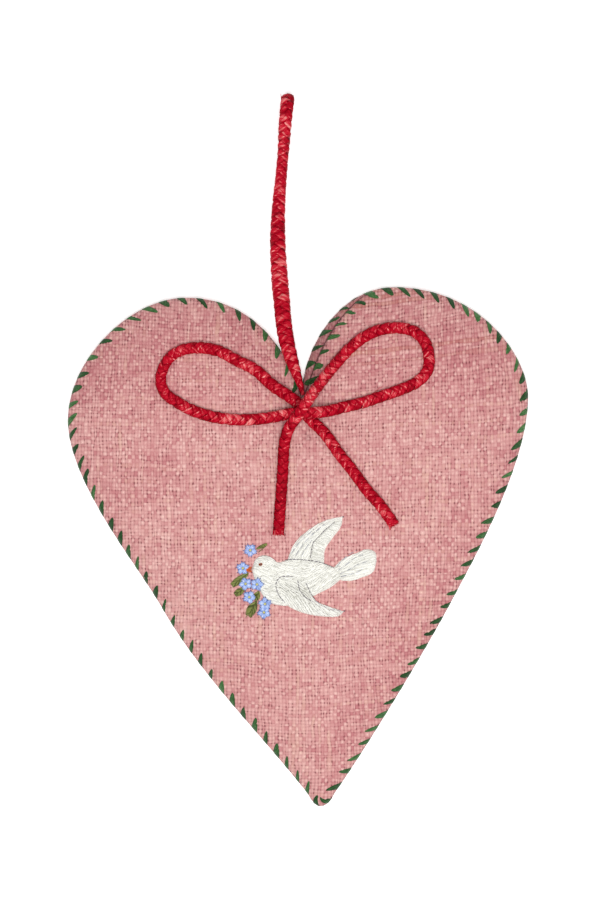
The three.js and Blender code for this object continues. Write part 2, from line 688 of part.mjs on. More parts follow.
// Leaves between the flowers: stem end, outer end and width, as hundredths of the dove's length
const LEAVES = [
  { from: [-35, 21.5], to: [-26.5, 25.5], width: 4 },
  { from: [-41.5, 2], to: [-55, -8], width: 6 },
  { from: [-44.5, -10], to: [-52.5, -15.5], width: 6 },
  { from: [-33, -12.5], to: [-36.5, -20], width: 6 },
  { from: [-35, -20.5], to: [-42, -32.5], width: 8 },
];

function leafSolid({ from, to, width }) {
  const [stem, end] = [onDove(from), onDove(to)];
  const across = new THREE.Vector2(stem.y - end.y, end.x - stem.x).normalize();
  const half = (width * DOVE_LENGTH) / 200;
  const edge = (side) => [0, 0.25, 0.6, 1].map((t) => (
    stem.clone().lerp(end, t).addScaledVector(across, side * half * Math.sin(Math.PI * t) ** 0.7)
  ));
  return satinArea(edge(1), edge(-1), {
    along: 4, across: 2, lift: SATIN_LIFT, edge: LEAF_THICKNESS, rise: LEAF_RISE,
  });
}

// Eye and the beak's root, as hundredths of the dove's length
const EYE_PLACE = [-31.8, 9.2];
const BEAK_PLACE = [-39.3, 4.4];

function beakSolid() {
  const root = onDove(BEAK_PLACE);
  const point = root.clone().add(new THREE.Vector2(-BEAK_LENGTH, -BEAK_DROOP));
  const side = (dy) => [root, root.clone().lerp(point, 0.35).add(new THREE.Vector2(0, dy)), point];
  return satinArea(side(BEAK_WIDTH / 2), side(-BEAK_WIDTH / 2), {
    along: 3, across: 2, lift: SATIN_LIFT, edge: BEAK_THICKNESS, rise: BEAK_RISE,
  });
}

// Materials

const CLOTH = { color: '#d59e9b', roughness: 0.85 };
const GREEN_RAFFIA = { color: '#347238', roughness: 0.55 };
const RED_RAFFIA = { color: '#c0202f', roughness: 0.5 };
const WHITE_THREAD = { color: '#f0eee4', roughness: 0.45 };
const BLUE_THREAD = { color: '#7f9de0', roughness: 0.5 };
const YELLOW_THREAD = { color: '#e1e196', roughness: 0.5 };
const OLIVE_THREAD = { color: '#6e8232', roughness: 0.5 };
const BROWN_THREAD = { color: '#b06a3c', roughness: 0.5 };

const ornament = new THREE.Group();

function place(name, geometry, finish) {
  const mesh = new THREE.Mesh(geometry, new THREE.MeshStandardMaterial({ ...finish, metalness: 0 }));
  mesh.name = name;
  ornament.add(mesh);
}

place('back_panel', backPanel(), CLOTH);
place('front_panel', frontPanel(), CLOTH);
place('edge_stitching', turnedOut(edgeStitching()), GREEN_RAFFIA);
place('hanging_loop', cordTube(LOOP_ROUTE), RED_RAFFIA);
place('bow_cord', cordTube(BOW_ROUTE), RED_RAFFIA);
place('dove', geometryOf(dove), WHITE_THREAD);
place('dove_eye', knot(onDove(EYE_PLACE), EYE_RADIUS, SATIN_LIFT + SATIN_EDGE + BODY_RISE), BROWN_THREAD);
place('dove_beak', geometryOf(beakSolid()), BROWN_THREAD);
flowerSolids().forEach((flower, i) => {
  place(`forget_me_not_${i + 1}`, geometryOf(flower), BLUE_THREAD);
});
FLOWERS.forEach(({ at }, i) => {
  const height = FLOWER_LIFT + FLOWER_THICKNESS + FLOWER_RISE + TRIM_CLEARANCE;
  place(`flower_centre_${i + 1}`, knot(onDove(at), KNOT_RADIUS, height), YELLOW_THREAD);
});
LEAVES.forEach((leaf, i) => {
  place(`leaf_${i + 1}`, geometryOf(leafSolid(leaf)), OLIVE_THREAD);
});

export default ornament;
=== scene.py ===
# %% [markdown]
# # Raffia heart ornament
#
# A small padded heart of pink woven raffia, whipped round its edge with flat green raffia. A plaited
# red cord hangs it, another lies on the front as a bow, and a dove with forget-me-nots is embroidered
# below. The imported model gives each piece's place and size, and this script gives each piece its
# real surface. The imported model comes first, and nothing in it is moved.

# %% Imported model
import math

import bpy
import numpy as np
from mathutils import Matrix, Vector, geometry
from mathutils.bvhtree import BVHTree
from mathutils.kdtree import KDTree


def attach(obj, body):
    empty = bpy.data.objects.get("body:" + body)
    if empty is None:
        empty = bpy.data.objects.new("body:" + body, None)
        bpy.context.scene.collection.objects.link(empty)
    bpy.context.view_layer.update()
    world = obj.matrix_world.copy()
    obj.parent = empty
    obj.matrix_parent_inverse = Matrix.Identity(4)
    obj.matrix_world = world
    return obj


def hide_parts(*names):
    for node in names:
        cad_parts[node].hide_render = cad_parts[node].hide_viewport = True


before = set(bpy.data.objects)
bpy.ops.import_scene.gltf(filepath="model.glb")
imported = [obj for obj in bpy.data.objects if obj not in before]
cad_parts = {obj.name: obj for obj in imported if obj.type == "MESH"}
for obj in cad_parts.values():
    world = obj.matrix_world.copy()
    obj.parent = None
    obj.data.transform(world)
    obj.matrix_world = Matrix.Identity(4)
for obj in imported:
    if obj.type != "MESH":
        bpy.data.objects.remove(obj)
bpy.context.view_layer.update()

MM = 0.001
bpy.ops.object.select_all(action="DESELECT")
print("nodes:", len(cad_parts))

# %% [markdown]
# ## Camera
#
# The photograph looks straight down on the ornament. Its scale is known from the heart's width, so
# the camera's field can be worked out from its height and the size of a pixel. A long lens from
# 1.2 m keeps the padding from spreading towards the edges of the picture.

# %% Camera
PHOTO_SIZE = (597, 900)
PHOTO_ORIGIN = (298, 547)  # pixel over the heart's origin
PIXEL = 0.32538 * MM
CAMERA_HEIGHT = 1.2
FOCUS_HEIGHT = 7 * MM  # about the middle of the padding
SENSOR = 24.0


def make_camera():
    data = bpy.data.cameras.new("camera")
    data.sensor_fit = "VERTICAL"
    data.sensor_height = SENSOR
    data.lens = SENSOR * (CAMERA_HEIGHT - FOCUS_HEIGHT) / (PHOTO_SIZE[1] * PIXEL)
    camera = bpy.data.objects.new("camera", data)
    x = (PHOTO_SIZE[0] / 2 - PHOTO_ORIGIN[0]) * PIXEL
    y = (PHOTO_ORIGIN[1] - PHOTO_SIZE[1] / 2) * PIXEL
    camera.location = (x, y, CAMERA_HEIGHT)
    bpy.context.scene.collection.objects.link(camera)
    return camera


bpy.context.scene.camera = make_camera()
bpy.context.scene.view_settings.view_transform = "Standard"
print("lens:", round(bpy.context.scene.camera.data.lens, 1), "mm")

# %% [markdown]
# ## Helpers for meshes
#
# Cords, strands and stitches are all long thin things that follow a line. A line is kept as an array
# of points, and a strand is a closed ring of points carried along it. The strands of one piece are
# gathered in a batch and become one mesh at the end, with a map that runs along each strand and a
# tint of its own for each, because a material can only follow a strand that its mesh describes.

# %% Soft noise and smooth lines


def soft_noise(x, y, seed):
    """Smooth noise from -1 to 1 at each pair of coordinates."""
    table = np.random.default_rng(seed).uniform(-1, 1, (256, 256))
    x, y = np.broadcast_arrays(np.asarray(x, float), np.asarray(y, float))
    column, row = np.floor(x).astype(int), np.floor(y).astype(int)
    fx, fy = x - column, y - row
    fx, fy = fx * fx * (3 - 2 * fx), fy * fy * (3 - 2 * fy)
    near, far = row % 256, (row + 1) % 256
    left, right = column % 256, (column + 1) % 256
    low = table[near, left] * (1 - fx) + table[near, right] * fx
    high = table[far, left] * (1 - fx) + table[far, right] * fx
    return low * (1 - fy) + high * fy


def unit(vectors):
    return vectors / np.linalg.norm(vectors, axis=-1, keepdims=True)


def distances(points):
    """Distance along a line at each of its points."""
    steps = np.linalg.norm(np.diff(points, axis=0), axis=1)
    return np.concatenate([[0.0], np.cumsum(steps)])


def sampled(points, along, places):
    """Points at given places along a line."""
    return np.stack([np.interp(places, along, column) for column in points.T], axis=1)


def spaced(points, step):
    """The same line with its points a step apart."""
    along = distances(points)
    count = max(2, round(along[-1] / step) + 1)
    return sampled(points, along, np.linspace(0, along[-1], count))


def smooth_line(points, step):
    """Centripetal Catmull-Rom curve through the points, with its own points a step apart."""
    points = np.asarray(points, float)
    ends = [2 * points[0] - points[1], 2 * points[-1] - points[-2]]
    points = np.vstack([ends[0], points, ends[1]])
    pieces = []
    for a, b, c, d in zip(points, points[1:], points[2:], points[3:]):
        gaps = [np.linalg.norm(q - p) ** 0.5 for p, q in ((a, b), (b, c), (c, d))]
        knots = np.concatenate([[0.0], np.cumsum(gaps)])
        t = np.linspace(knots[1], knots[2], 24)[:, None]

        def blend(p, q, i, j):
            return p * (knots[j] - t) / (knots[j] - knots[i]) + q * (t - knots[i]) / (knots[j] - knots[i])

        first = blend(blend(a, b, 0, 1), blend(b, c, 1, 2), 0, 2)
        second = blend(blend(b, c, 1, 2), blend(c, d, 2, 3), 1, 3)
        pieces.append(blend(first, second, 1, 2)[:-1])
    return spaced(np.vstack(pieces + [points[-2:-1]]), step)


def surface_tree(points, faces):
    """A mesh to drop lines on, in millimetres, as its faces are too small to be hit in metres."""
    return BVHTree.FromPolygons((np.asarray(points) / MM).tolist(), [tuple(face) for face in faces])


def tree_over(piece):
    """The same for a finished piece."""
    mesh = piece.data
    return surface_tree([v.co[:] for v in mesh.vertices], [p.vertices for p in mesh.polygons])


def height_over(tree, flat, missed):
    """Height of a surface over flat places, and another value where there is none."""
    heights = []
    for x, y in flat:
        hit = tree.ray_cast(Vector((x / MM, y / MM, 100)), Vector((0, 0, -1)))[0]
        heights.append(hit.z * MM if hit else missed)
    return np.array(heights)


def photo_place(pixels):
    """Places on the heart, from pixels of the photograph."""
    pixels = np.asarray(pixels, float)
    return np.column_stack([pixels[:, 0] - PHOTO_ORIGIN[0], PHOTO_ORIGIN[1] - pixels[:, 1]]) * PIXEL


print("noise at a point:", round(float(soft_noise(0.3, 0.7, 1)), 3))

# %% Batch of strands


class Batch:
    """Points, faces, map and tint of many strands, which become one mesh."""

    def __init__(self):
        self.points, self.faces, self.uvs, self.tints = [], [], [], []
        self.count = 0

    def tube(self, rings, along, tint):
        """A closed tube through rings of points; the map runs round it and along it."""
        rings = np.asarray(rings, float)
        number, sides, _ = rings.shape
        first = self.count
        middles = rings.mean(axis=1)
        self.points.append(rings.reshape(-1, 3))
        self.points.append(middles[[0, -1]])
        self.tints.append(np.repeat(np.broadcast_to(tint, number), sides))
        self.tints.append(np.broadcast_to(tint, number)[[0, -1]])
        self.count += number * sides + 2
        start_cap, end_cap = self.count - 2, self.count - 1
        for i in range(number - 1):
            for j in range(sides):
                k = (j + 1) % sides
                a, b = first + i * sides + j, first + i * sides + k
                self.faces.append((a, b, b + sides, a + sides))
                u, w = j / sides, (j + 1) / sides
                self.uvs += [(u, along[i]), (w, along[i]), (w, along[i + 1]), (u, along[i + 1])]
        last = first + (number - 1) * sides
        for j in range(sides):
            k = (j + 1) % sides
            u, w = j / sides, (j + 1) / sides
            self.faces.append((start_cap, first + k, first + j))
            self.uvs += [(u, along[0]), (w, along[0]), (u, along[0])]
            self.faces.append((end_cap, last + j, last + k))
            self.uvs += [(u, along[-1]), (u, along[-1]), (w, along[-1])]

    def shape(self, points, faces, uvs, tint):
        """Any other mesh, given in the same way."""
        points = np.asarray(points, float)
        self.points.append(points)
        self.tints.append(np.broadcast_to(tint, len(points)))
        self.faces += [tuple(self.count + i for i in face) for face in faces]
        self.uvs += list(uvs)
        self.count += len(points)

    def piece(self, name, finish, node_names, slot):
        """Makes the mesh, sets it on the root body and hides the imported nodes that it stands for."""
        mesh = bpy.data.meshes.new(name)
        mesh.from_pydata(np.vstack(self.points).tolist(), [], self.faces)
        layer = mesh.uv_layers.new(name="along")
        layer.data.foreach_set("uv", np.asarray(self.uvs, np.float32).ravel())
        tint = mesh.attributes.new("tint", "FLOAT", "POINT")
        tint.data.foreach_set("value", np.concatenate(self.tints).astype(np.float32))
        mesh.polygons.foreach_set("use_smooth", [True] * len(mesh.polygons))
        mesh.materials.append(finish)
        piece = bpy.data.objects.new(name, mesh)
        bpy.context.scene.collection.objects.link(piece)
        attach(piece, "root")
        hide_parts(*node_names)
        print(name, "has", len(mesh.polygons), "faces")
        return piece


def ring_strand(line, side, up, widths, heights, sides):
    """Rings of an oval section carried along a line."""
    angles = np.linspace(0, 2 * math.pi, sides, endpoint=False)
    x = np.cos(angles)[None] * widths[:, None] / 2
    z = np.sin(angles)[None] * heights[:, None] / 2
    return line[:, None] + x[..., None] * side[:, None] + z[..., None] * up[:, None]


def line_axes(line, side_hint):
    """Directions along, across and out of a line, from a rough direction across it."""
    along = unit(np.gradient(line, axis=0))
    side = unit(side_hint - (side_hint * along).sum(axis=1, keepdims=True) * along)
    return along, side, np.cross(side, along)


print("batch ready")

# %% [markdown]
# ## Helpers for materials
#
# Raffia and thread get their look from colour that changes along each fibre and from fine ridges.
# Both are worked out by nodes, so they stay sharp at any distance. The helper below only shortens
# the calls that make a node and join it to others.

# %% Material helper


def srgb(red, green, blue):
    """Linear colour of an 8-bit colour as seen on a screen."""
    shares = [value / 255 for value in (red, green, blue)]
    linear = [s / 12.92 if s <= 0.04045 else ((s + 0.055) / 1.055) ** 2.4 for s in shares]
    return (*linear, 1.0)


class Finish:
    """A material whose nodes are added by short calls."""

    def __init__(self, name, roughness, specular=0.5):
        self.material = bpy.data.materials.new(name)
        self.material.use_nodes = True
        self.tree = self.material.node_tree
        self.shader = self.tree.nodes["Principled BSDF"]
        self.shader.inputs["Roughness"].default_value = roughness
        self.shader.inputs["Specular IOR Level"].default_value = specular

    def node(self, kind, settings=None, **inputs):
        node = self.tree.nodes.new("ShaderNode" + kind)
        for key, value in (settings or {}).items():
            setattr(node, key, value)
        for key, value in inputs.items():
            socket = node.inputs[int(key[1:])] if key[0] == "i" and key[1:].isdigit() else node.inputs[key]
            self.feed(socket, value)
        return node

    def feed(self, socket, value):
        if isinstance(value, bpy.types.NodeSocket):
            self.tree.links.new(value, socket)
        else:
            socket.default_value = value

    def math(self, operation, a, b=0.0):
        return self.node("Math", {"operation": operation}, i0=a, i1=b).outputs[0]

    def plus(self, a, b):
        return self.math("ADD", a, b)

    def minus(self, a, b):
        return self.math("SUBTRACT", a, b)

    def times(self, a, b):
        return self.math("MULTIPLY", a, b)

    def noise(self, vector, scale, detail=2.0):
        node = self.node("TexNoise", None, Vector=vector, Scale=scale, Detail=detail)
        return node.outputs["Fac"]

    def random(self, vector):
        return self.node("TexWhiteNoise", {"noise_dimensions": "3D"}, Vector=vector).outputs["Value"]

    def vector(self, x, y, z=0.0):
        return self.node("CombineXYZ", None, X=x, Y=y, Z=z).outputs[0]

    def blend(self, factor, a, b):
        return self.node("Mix", {"data_type": "FLOAT"}, i0=factor, i2=a, i3=b).outputs[0]

    def parts(self, vector):
        return self.node("SeparateXYZ", None, Vector=vector).outputs

    def ramp(self, factor, stops):
        node = self.node("ValToRGB", None, Fac=factor)
        ramp = node.color_ramp
        while len(ramp.elements) < len(stops):
            ramp.elements.new(0.5)
        for element, (position, colour) in zip(ramp.elements, stops):
            element.position = position
            element.color = colour
        return node.outputs[0]

    def rising(self, value, low, high, floor=0.0):
        """From a floor below one value to 1 above another; both lie between 0 and 1."""
        return self.ramp(value, [(low, (floor, floor, floor, 1)), (high, (1, 1, 1, 1))])

    def mix(self, factor, a, b):
        node = self.node("Mix", {"data_type": "RGBA"}, i0=factor)
        self.feed(node.inputs[6], a)
        self.feed(node.inputs[7], b)
        return node.outputs[2]

    def colour(self, value):
        self.feed(self.shader.inputs["Base Color"], value)

    def bump(self, height, distance, strength=1.0):
        node = self.node("Bump", None, Height=height, Distance=distance, Strength=strength)
        self.feed(self.shader.inputs["Normal"], node.outputs[0])

    def strand_map(self):
        """Places round and along a strand, and the strand's own tint."""
        uv = self.node("UVMap", {"uv_map": "along"}).outputs[0]
        tint = self.node("Attribute", {"attribute_name": "tint"}).outputs["Fac"]
        around, along, _ = self.parts(uv)
        return around, along, tint


print("materials ready")

# %% [markdown]
# ## Red raffia
#
# Raffia is the skin of a palm leaf, split into flat strips and dyed. Its fibres run along the strip,
# take the dye unevenly, and shine a little. So the colour and the ridges come from noise that is
# drawn out along each strand, and each strand has its own tint. A painted highlight streaks one
# edge of a strand in places, and painted shade darkens the other edge, which lies under the next
# strand.

# %% Red raffia finish


def red_raffia():
    finish = Finish("red_raffia", roughness=0.5, specular=0.07)
    plus, minus, times = finish.plus, finish.minus, finish.times
    around, along, tint = finish.strand_map()
    lengthwise = times(along, 0.16)
    fibres = finish.noise(finish.vector(times(around, 9.0), lengthwise, tint), 3.0, 3.0)
    patches = finish.noise(finish.vector(around, lengthwise, times(tint, 40.0)), 1.6, 2.0)
    mixed = plus(times(fibres, 0.6), times(patches, 0.4))
    shade = plus(mixed, times(minus(tint, 0.5), 0.5))

    # From 0 at one edge of a strand to 1 at the other, on both its faces
    face = minus(1.0, finish.math("ABSOLUTE", minus(times(around, 2.0), 1.0)))

    def near(place, reach):
        away = finish.math("ABSOLUTE", minus(face, place))
        return finish.ramp(away, [(0.0, (1, 1, 1, 1)), (reach, (0, 0, 0, 1))])

    # Painted highlight along one edge of each strand, and painted shade along the other edge
    edge_highlight = times(near(0.30, 0.16), finish.rising(patches, 0.42, 0.6))
    shade = plus(shade, times(edge_highlight, 0.26))
    shade = minus(shade, times(near(0.98, 0.22), 0.22))
    finish.colour(finish.ramp(shade, [
        (0.22, srgb(104, 0, 14)),
        (0.38, srgb(156, 0, 24)),
        (0.54, srgb(186, 0, 32)),
        (0.68, srgb(216, 44, 64)),
        (0.86, srgb(250, 158, 152)),
    ]))
    finish.bump(fibres, 0.2 * MM, 0.8)
    return finish.material


RED_RAFFIA = red_raffia()
print("finish:", RED_RAFFIA.name)

# %% [markdown]
# ## Plaited cords
#
# Each cord is a flat plait of three flat strands. Each strand swings from side to side while it rises
# and sinks twice as often, a third of a turn after its neighbour, so that one formula gives all
# three. Across a strand's width one point follows the next in that swing, so that the strand folds
# over where it turns back at the plait's edge, as a flat strip does. The routes are those of the
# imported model: the hanging loop goes up from the notch, over its small eye and back under itself,
# and the bow is one cord that crosses itself in three layers, without a knot. The strands are carried along in code, because a cord has to have an exact
# length, and only a formula keeps it.

# %% Routes of the cords
PLAIT_WIDTH = 3.9 * MM
PLAIT_THICKNESS = 2.6 * MM
STRAND_STEP = 0.36 * MM

LOOP_ROUTE = np.array([
    (1.6, 49.4, 7.2), (0.9, 52.2, 7.4), (-0.6, 56.6, 7.5), (-2.2, 61.4, 7.5), (-3.6, 66.6, 7.3),
    (-4.6, 72.6, 6.5), (-5.3, 80.0, 5.8), (-6.2, 90.5, 5.7), (-6.6, 101.5, 5.7),
    (-6.2, 112.5, 5.7), (-5.5, 120.5, 5.8), (-5.0, 126.0, 6.8), (-4.6, 130.5, 9.8), (-4.3, 135.0, 12.9), (-3.9, 140.0, 13.9),
    (-3.5, 144.2, 12.1), (-3.3, 146.0, 7.9), (-3.5, 144.2, 3.7), (-3.9, 140.0, 1.9),
    (-4.6, 131.0, 1.9), (-5.6, 120.5, 1.9), (-6.4, 109.5, 1.9), (-6.7, 98.5, 1.9), (-6.3, 88.0, 1.9),
    (-5.7, 79.0, 1.9), (-5.1, 72.0, 2.4), (-4.5, 66.5, 3.3),
]) * MM

BOW_ROUTE = np.array([
    (31.1, 7.4, 15.9), (26.5, 13.8, 16.2), (22.4, 18.4, 16.3), (17.7, 24.8, 16.1), (13.1, 30.6, 15.3),
    (8.9, 36.6, 14.1), (4.0, 41.6, 12.1), (-0.5, 47.1, 11.2), (-8.1, 52.4, 11.9), (-14.0, 57.6, 12.8),
    (-19.7, 60.5, 13.4), (-25.5, 63.5, 13.8), (-31.3, 64.6, 14.0), (-37.1, 64.0, 14.2),
    (-41.2, 61.7, 14.4), (-43.5, 58.2, 14.7), (-44.4, 54.1, 15.0), (-43.0, 50.0, 15.5),
    (-38.9, 46.9, 16.1), (-33.1, 43.9, 16.2), (-25.5, 41.9, 15.8), (-16.8, 41.3, 15.1),
    (-8.1, 42.2, 14.4), (-2.3, 43.3, 15.1), (4.0, 43.6, 15.9), (9.0, 44.0, 14.9), (14.8, 45.4, 14.1),
    (20.7, 46.8, 14.9), (26.4, 48.7, 15.5), (32.2, 50.7, 15.9), (38.1, 53.3, 16.0), (41.6, 56.8, 15.4),
    (42.4, 60.8, 14.8), (41.3, 66.0, 14.3), (38.1, 69.6, 13.9), (33.4, 71.0, 13.6), (27.6, 70.7, 13.5),
    (21.8, 68.4, 13.1), (16.6, 64.3, 12.7), (11.9, 59.1, 12.6), (7.3, 53.4, 15.0), (3.2, 47.5, 18.5),
    (0.0, 42.8, 19.1), (-2.9, 38.6, 17.5), (-4.4, 33.6, 15.3), (-4.8, 27.6, 15.6), (-5.2, 20.4, 16.1),
    (-5.8, 12.6, 16.3), (-6.3, 4.4, 16.3),
]) * MM

loop_line = smooth_line(LOOP_ROUTE, STRAND_STEP)
bow_line = smooth_line(BOW_ROUTE, STRAND_STEP)
for name, line in (("loop", loop_line), ("bow", bow_line)):
    print(name, "line:", round(distances(line)[-1] / MM, 1), "mm")

# %% Plait
PLAIT_PERIOD = 8.8 * MM  # one full swing of a strand, three crossings
STRAND_THICKNESS = 0.55 * MM
STRAND_SPREAD = 1.24  # half a strand's width, as part of its swing, in radians
STRAND_POINTS = 7  # points across each face of a strand
STRAND_TINT = 0.44
EVENED = 0.7  # how much of a strand's change of tint is lost where the plait is smooth
STRAND_OVERLAP = 0.3  # how far one edge of a strand lies over the strand beside it


def swing_of(phase):
    """Sideways place of a strand, from -1 to 1: straight from edge to edge, then turned back."""
    return 0.9 * (np.sin(phase) - np.sin(3 * phase) / 9)


def plait_strands(batch, line, side_hint, width_at, tint_at, smooth_at, seed):
    """Three flat strands along a line; the three functions give values for each share of its length."""
    along = distances(line)
    share = along / along[-1]
    _, side, up = line_axes(line, side_hint)
    scale, smooth = width_at(share), smooth_at(share)
    half = scale * (PLAIT_WIDTH - STRAND_THICKNESS) / 2
    lift = scale * (PLAIT_THICKNESS - STRAND_THICKNESS) / 2 * (1 - 0.5 * smooth)
    across = np.linspace(-1, 1, STRAND_POINTS)
    for k in range(3):
        wander = 0.26 * soft_noise(along / (9 * MM), k, seed)
        swing = 2 * math.pi * (along / PLAIT_PERIOD + k / 3) + wander
        spread = STRAND_SPREAD * (1 + 0.08 * soft_noise(along / (3.4 * MM), k + 5, seed + 1))
        lag = spread[:, None] * across
        x = half[:, None] * swing_of(swing[:, None] - lag)
        z = lift[:, None] * (np.cos(2 * swing[:, None] - lag + math.pi / 3) - STRAND_OVERLAP * across)
        slope_x, slope_z = np.gradient(x, axis=1), np.gradient(z, axis=1)
        length = np.hypot(slope_x, slope_z) + 1e-9
        out_x, out_z = slope_z / length, -slope_x / length
        folds = 0.14 * np.sin(5 * across[None] + 3 * soft_noise(along / (5 * MM), k + 9, seed)[:, None])
        thick = STRAND_THICKNESS / 2 * scale[:, None] * ((1 - 0.96 * across**2) ** 0.5 + folds)
        near = np.stack([x + out_x * thick, z + out_z * thick], axis=2)
        far = np.stack([x - out_x * thick, z - out_z * thick], axis=2)[:, ::-1]
        flat = np.concatenate([near, far], axis=1)
        rings = line[:, None] + flat[..., :1] * side[:, None] + flat[..., 1:] * up[:, None]
        # Painted light in each strand's tint: rare glints as highlights, lighter where the strand crosses
        # the middle of the plait, and painted shade at the plait's edges
        sway = swing_of(swing)
        painted_glint = 0.5 * np.clip(soft_noise(along / (4.3 * MM), 20 + k * 3.1, seed + 7), 0, 1) ** 2
        tint = STRAND_TINT + 0.26 * soft_noise(along / (2.9 * MM), 50 + k * 3.1, seed + 8) + painted_glint
        tint = tint + 0.14 * (1 - 1.6 * sway**2)
        tint = tint * (1 - EVENED * smooth) + STRAND_TINT * EVENED * smooth + tint_at(share)
        batch.tube(rings, along / MM + 400 * k, np.clip(tint, 0.02, 0.98))


def fringe(batch, line, side_hint, at_end, count, seed):
    """Short loose fibres at a cut end of a plait."""
    random = np.random.default_rng(seed)
    _, side, up = line_axes(line, side_hint)
    index = -1 if at_end else 0
    outward = line[-1] - line[-6] if at_end else line[0] - line[5]
    outward = outward / np.linalg.norm(outward)
    for _ in range(count):
        across = random.uniform(-0.5, 0.5) * PLAIT_WIDTH * 0.85
        rise = random.uniform(-0.35, 0.3) * PLAIT_THICKNESS
        root = line[index] + side[index] * across + up[index] * rise - outward * 1.2 * MM
        length = random.uniform(1.4, 1.95) * MM
        lean = side[index] * (across * 0.35 + random.uniform(-0.35, 0.35) * MM)
        drop = up[index] * random.uniform(-0.5, 0.15) * MM
        steps = np.linspace(0, 1, 5)[:, None]
        fibre = root + outward * length * steps + lean * steps**2 + drop * steps**2
        width = random.uniform(0.25, 0.6) * MM * np.array([1, 1, 0.9, 0.7, 0.3])
        _, fibre_side, fibre_up = line_axes(fibre, np.tile(side[index], (5, 1)))
        rings = ring_strand(fibre, fibre_side, fibre_up, width, width * 0.45, 5)
        batch.tube(rings, np.linspace(0, 2, 5) + random.uniform(0, 90), random.uniform(0.45, 0.95))


def stray(batch, start, end, arch, width, tint):
    """One fibre that has sprung out of a plait."""
    steps = np.linspace(0, 1, 9)[:, None]
    line = np.asarray(start) * MM * (1 - steps) + np.asarray(end) * MM * steps
    line = line + np.array([0, 0, 1]) * arch * MM * np.sin(math.pi * steps)
    _, side, up = line_axes(line, np.tile([0.0, 0.3, 1.0], (9, 1)))
    widths = width * MM * np.sin(math.pi * (0.12 + 0.76 * steps[:, 0]))
    batch.tube(ring_strand(line, side, up, widths, widths * 0.6, 5), np.linspace(0, 3, 9), tint)


print("a strand crosses over every", round(PLAIT_PERIOD / 3 / MM, 1), "mm")

# %% Hanging loop
UP = np.array([0.0, 0.0, 1.0])
ACROSS_LOOP = np.array([1.0, 0.0, 0.0])


def loop_width(share):
    """Tucked in and narrow in the notch, widest above it, slimmer along its middle."""
    shares = [0.0, 0.02, 0.045, 0.07, 0.1, 0.2, 0.28, 0.33, 0.38, 0.42, 0.47, 0.53, 0.62, 0.85, 1.0]
    widths = [0.3, 0.6, 0.95, 1.2, 1.36, 1.46, 1.32, 1.16, 1.0, 0.96, 1.1, 1.14, 0.95, 0.95, 0.7]
    return np.interp(share, shares, widths)


def no_change(share):
    return np.zeros_like(share)


loop_batch = Batch()
plait_strands(
    loop_batch, loop_line, np.tile(ACROSS_LOOP, (len(loop_line), 1)), loop_width, no_change, no_change, 11,
)
stray(loop_batch, (-5.2, 143.5, 12.5), (-5.6, 147.2, 11.2), 0.3, 0.5, 0.3)
stray(loop_batch, (-2.4, 143.5, 12.3), (-1.4, 146.6, 11.4), 0.4, 0.5, 0.35)
hanging_loop = loop_batch.piece("hanging_loop_plait", RED_RAFFIA, ["hanging_loop"], "red_raffia")
[tuple(p) for p in loop_line[::3]]

# %% Bow


def bow_width(share):
    return 1.0 - 0.05 * np.exp(-((share - 0.33) / 0.03) ** 2) + 0.06 * np.exp(-((share - 0.19) / 0.05) ** 2)


def bow_tint(share):
    """Darker on the left tail, and a painted highlight where the cord crosses itself on top."""
    tail = -0.14 * np.clip((share - 0.885) / 0.03, 0, 1)
    crossing_highlight = 0.22 * np.exp(-((share - 0.845) / 0.018) ** 2)
    return tail + crossing_highlight


def bow_smooth(share):
    """Where the plait is drawn tight and its strands lie flat: the left bend and the left tail."""
    bend = np.exp(-((share - 0.335) / 0.03) ** 2)
    return np.clip(bend + np.clip((share - 0.885) / 0.02, 0, 1), 0, 1)


bow_batch = Batch()
bow_side = np.cross(unit(np.gradient(bow_line, axis=0)), UP)
plait_strands(bow_batch, bow_line, bow_side, bow_width, bow_tint, bow_smooth, 31)
fringe(bow_batch, bow_line, bow_side, False, 22, 5)
fringe(bow_batch, bow_line, bow_side, True, 30, 6)
stray(bow_batch, (-27.5, 64.4, 15.0), (-31.8, 66.7, 14.6), 0.5, 0.22, 0.15)
stray(bow_batch, (22.0, 48.2, 16.0), (27.5, 52.4, 15.6), 0.6, 0.2, 0.7)
bow = bow_batch.piece("bow_plait", RED_RAFFIA, ["bow_cord"], "red_raffia")
[tuple(p) for p in bow_line[::3]]

# %% [markdown]
# ## Outline of the heart
#
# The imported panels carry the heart's outline: the back panel's widest ring and the line of the seam
# above it. Both run round one middle without doubling back, so sorting their corners by angle puts
# them in order, and a smooth line through them gives the true curve. The notch stays sharp, because
# the line starts and ends there.

# %% Outline
MIDDLE = np.array([5.3, 22.1]) * MM
RIM_HEIGHT = 3.4 * MM
SEAM_LEVEL = 4.2 * MM  # all of the back panel's seam lies above this
SEAM_HEIGHT = 4.5 * MM
OUTLINE_STEP = 0.5 * MM


def node_ring(node, lowest, highest):
    """A node's corners between two heights, in order round the middle, from the notch anticlockwise."""
    corners = np.array([v.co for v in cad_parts[node].data.vertices])
    corners = corners[(corners[:, 2] > lowest) & (corners[:, 2] < highest)]
    corners = np.unique(np.round(corners, 6), axis=0)
    angles = np.arctan2(corners[:, 1] - MIDDLE[1], corners[:, 0] - MIDDLE[0])
    corners = corners[np.argsort(angles)]
    near_notch = (abs(corners[:, 0]) < 6 * MM) & (corners[:, 1] > MIDDLE[1])
    notch = np.argmin(np.where(near_notch, corners[:, 1], 1.0))
    return np.roll(corners, -notch, axis=0)


rim_corners = node_ring("back_panel", RIM_HEIGHT - 0.1 * MM, RIM_HEIGHT + 0.1 * MM)
seam_corners = node_ring("back_panel", SEAM_LEVEL, 20 * MM)


def closed_line(corners, count):
    """Smooth line round a ring, with the same number of points for every ring."""
    fine = smooth_line(np.vstack([corners, corners[:1]]), 0.1 * MM)
    along = distances(fine)
    return sampled(fine, along, np.linspace(0, along[-1], count + 1)[:-1])


